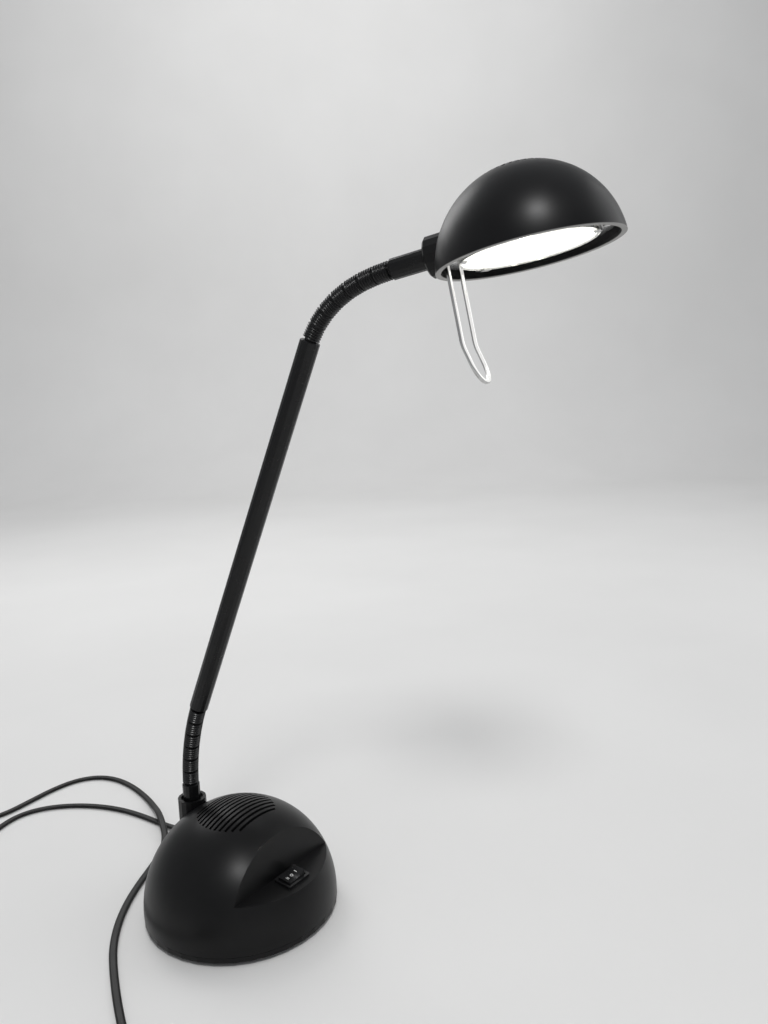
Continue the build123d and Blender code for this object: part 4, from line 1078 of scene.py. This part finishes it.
def strap_line():
    """The strap seen along its width: once round and a little over, with its end outside its start."""
    middle = (tie_low + tie_high) / 2
    half_height = (tie_high - tie_low) / 2
    points = []
    for step in range(tie_steps + 1):
        x, y = soft_square(tie_start + tie_sweep * step / tie_steps, tie_squareness)
        depth = tie_depth * min(1.0, (tie_steps - step) / tie_end_steps)
        grow = 1 - depth / half_height
        along = x * (tie_half_length - tie_sheet) * grow
        points.append(Vector((along, middle + y * (half_height - tie_sheet / 2) * grow)))
    return points


def strap_shape():
    """Vertices and faces of the strap: four corners at each point of its line."""
    line = strap_line()
    vertices = []
    for step, point in enumerate(line):
        run = heading_at(line, step)
        for shift in (-tie_sheet / 2, tie_sheet / 2):
            for side in (-tie_width / 2, tie_width / 2):
                place = coil_middle + coil_ahead * (tie_middle + point.x + run.y * shift) + coil_aside * side
                vertices.append(Vector((place.x, place.y, point.y - run.x * shift)))
    faces = [(0, 2, 3, 1), tuple(len(vertices) + corner for corner in (-4, -3, -1, -2))]
    for here in range(0, len(vertices) - 4, 4):
        following = here + 4
        for one, two in ((0, 1), (1, 3), (3, 2), (2, 0)):
            faces.append((here + one, here + two, following + two, following + one))
    return vertices, faces


tie_piece = new_piece("coil_strap", *strap_shape(), foam_rubber, "base", "tie_plastic", bend_smoothing)
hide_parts("cord_tie")

# Marks on the rocker: I, O and II, thin paint that follows the hollow of its top

rocker_joint = joints["rocker_tilt"]
rocker_y = Vector(rocker_joint["axis"]).normalized()
rocker_x = Matrix.Rotation(-rocker_tilt, 3, rocker_y) @ Vector((1, 0, 0))
rocker_z = rocker_x.cross(rocker_y)
rocker_origin = Vector(rocker_joint["pos_m"])
hollow_depth = rocker_end_rise - rocker_middle_rise
hollow_radius = ((rocker_length / 2) ** 2 + hollow_depth**2) / (2 * hollow_depth)


def on_rocker(x, y):
    """Place on the rocker's top, a hair above its surface."""
    rise = rocker_middle_rise + hollow_radius - math.sqrt(hollow_radius**2 - x**2) + mark_relief
    return rocker_origin + rocker_x * x + rocker_y * y + rocker_z * rise


def bar(middle):
    """Outline points of an upright stroke."""
    near, far = middle - mark_stroke / 2, middle + mark_stroke / 2
    low, high = -mark_height / 2, mark_height / 2
    return [on_rocker(near, low), on_rocker(far, low), on_rocker(far, high), on_rocker(near, high)]


def ring():
    """Points of a ring in the middle, outer and inner by turns."""
    points = []
    for angle in turns(ring_sides):
        for radius in (mark_height / 2, mark_height / 2 - mark_stroke):
            points.append(on_rocker(radius * ring_narrowing * math.cos(angle), radius * math.sin(angle)))
    return points


mark_points, mark_faces = [], []
for middle in (mark_spacing, -mark_spacing - mark_stroke, -mark_spacing + mark_stroke):
    first = len(mark_points)
    mark_points += bar(middle)
    mark_faces.append(tuple(range(first, first + 4)))
first = len(mark_points)
mark_points += ring()
for step in range(ring_sides):
    here, following = first + 2 * step, first + 2 * ((step + 1) % ring_sides)
    mark_faces.append((here, following, following + 1, here + 1))
new_piece("rocker_marks", mark_points, mark_faces, mark_paint, "rocker", "black_gloss")

# Studio: pale floor that curves up into a backdrop behind the lamp, as the camera sees it


def backdrop_profile():
    """Side view of the studio's sheet: flat, a quarter circle, then upright."""
    profile = [(-floor_reach, 0.0), (backdrop_distance, 0.0)]
    for step in range(1, backdrop_steps + 1):
        angle = math.pi / 2 * step / backdrop_steps
        reach = backdrop_distance + backdrop_radius * math.sin(angle)
        profile.append((reach, backdrop_radius * (1 - math.cos(angle))))
    return profile + [(backdrop_distance + backdrop_radius, backdrop_radius + backdrop_height)]


def studio_floor():
    """The studio's sheet, laid along the camera's view."""
    away = Vector((camera_forward.x, camera_forward.y, 0)).normalized()
    aside = Vector((away.y, -away.x, 0))
    profile = backdrop_profile()
    vertices = []
    for reach, rise in profile:
        vertices += [away * reach + upward * rise + aside * side for side in (-floor_reach, floor_reach)]
    faces = [(2 * step, 2 * step + 1, 2 * step + 3, 2 * step + 2) for step in range(len(profile) - 1)]
    mesh = new_mesh("studio_floor", vertices, faces)
    shade_smooth(mesh, bend_smoothing)
    mesh.materials.append(studio_paper("studio_paper"))
    in_scene("studio_floor", mesh)


def soft_light(name, place, target, size, power):
    """A square softbox that faces a point."""
    lamp = bpy.data.lights.new(name, "AREA")
    lamp.size = size
    lamp.energy = power
    box = in_scene(name, lamp)
    box.location = place
    box.rotation_euler = (Vector(target) - Vector(place)).to_track_quat("-Z", "Y").to_euler()


def studio_world():
    """Even grey light from all round."""
    world = bpy.data.worlds.new("studio_world")
    world.use_nodes = True
    background = world.node_tree.nodes["Background"]
    background.inputs["Color"].default_value = world_colour
    background.inputs["Strength"].default_value = world_strength
    bpy.context.scene.world = world


def photo_camera():
    """Camera at the photograph's place, with its picture's long side upright."""
    data = bpy.data.cameras.new("photo_camera")
    data.sensor_width = sensor
    data.lens = focal_pixels / picture_height * sensor
    data.clip_start = camera_near
    camera = in_scene("photo_camera", data)
    back = -camera_forward.normalized()
    right = camera_right.normalized()
    up = back.cross(right)
    camera.matrix_world = Matrix.Translation(camera_place) @ Matrix((right, up, back)).transposed().to_4x4()
    bpy.context.scene.camera = camera


studio_floor()
for name, settings in softboxes.items():
    soft_light(name, *settings)
studio_world()
photo_camera()
bpy.context.scene.view_settings.view_transform = "Standard"
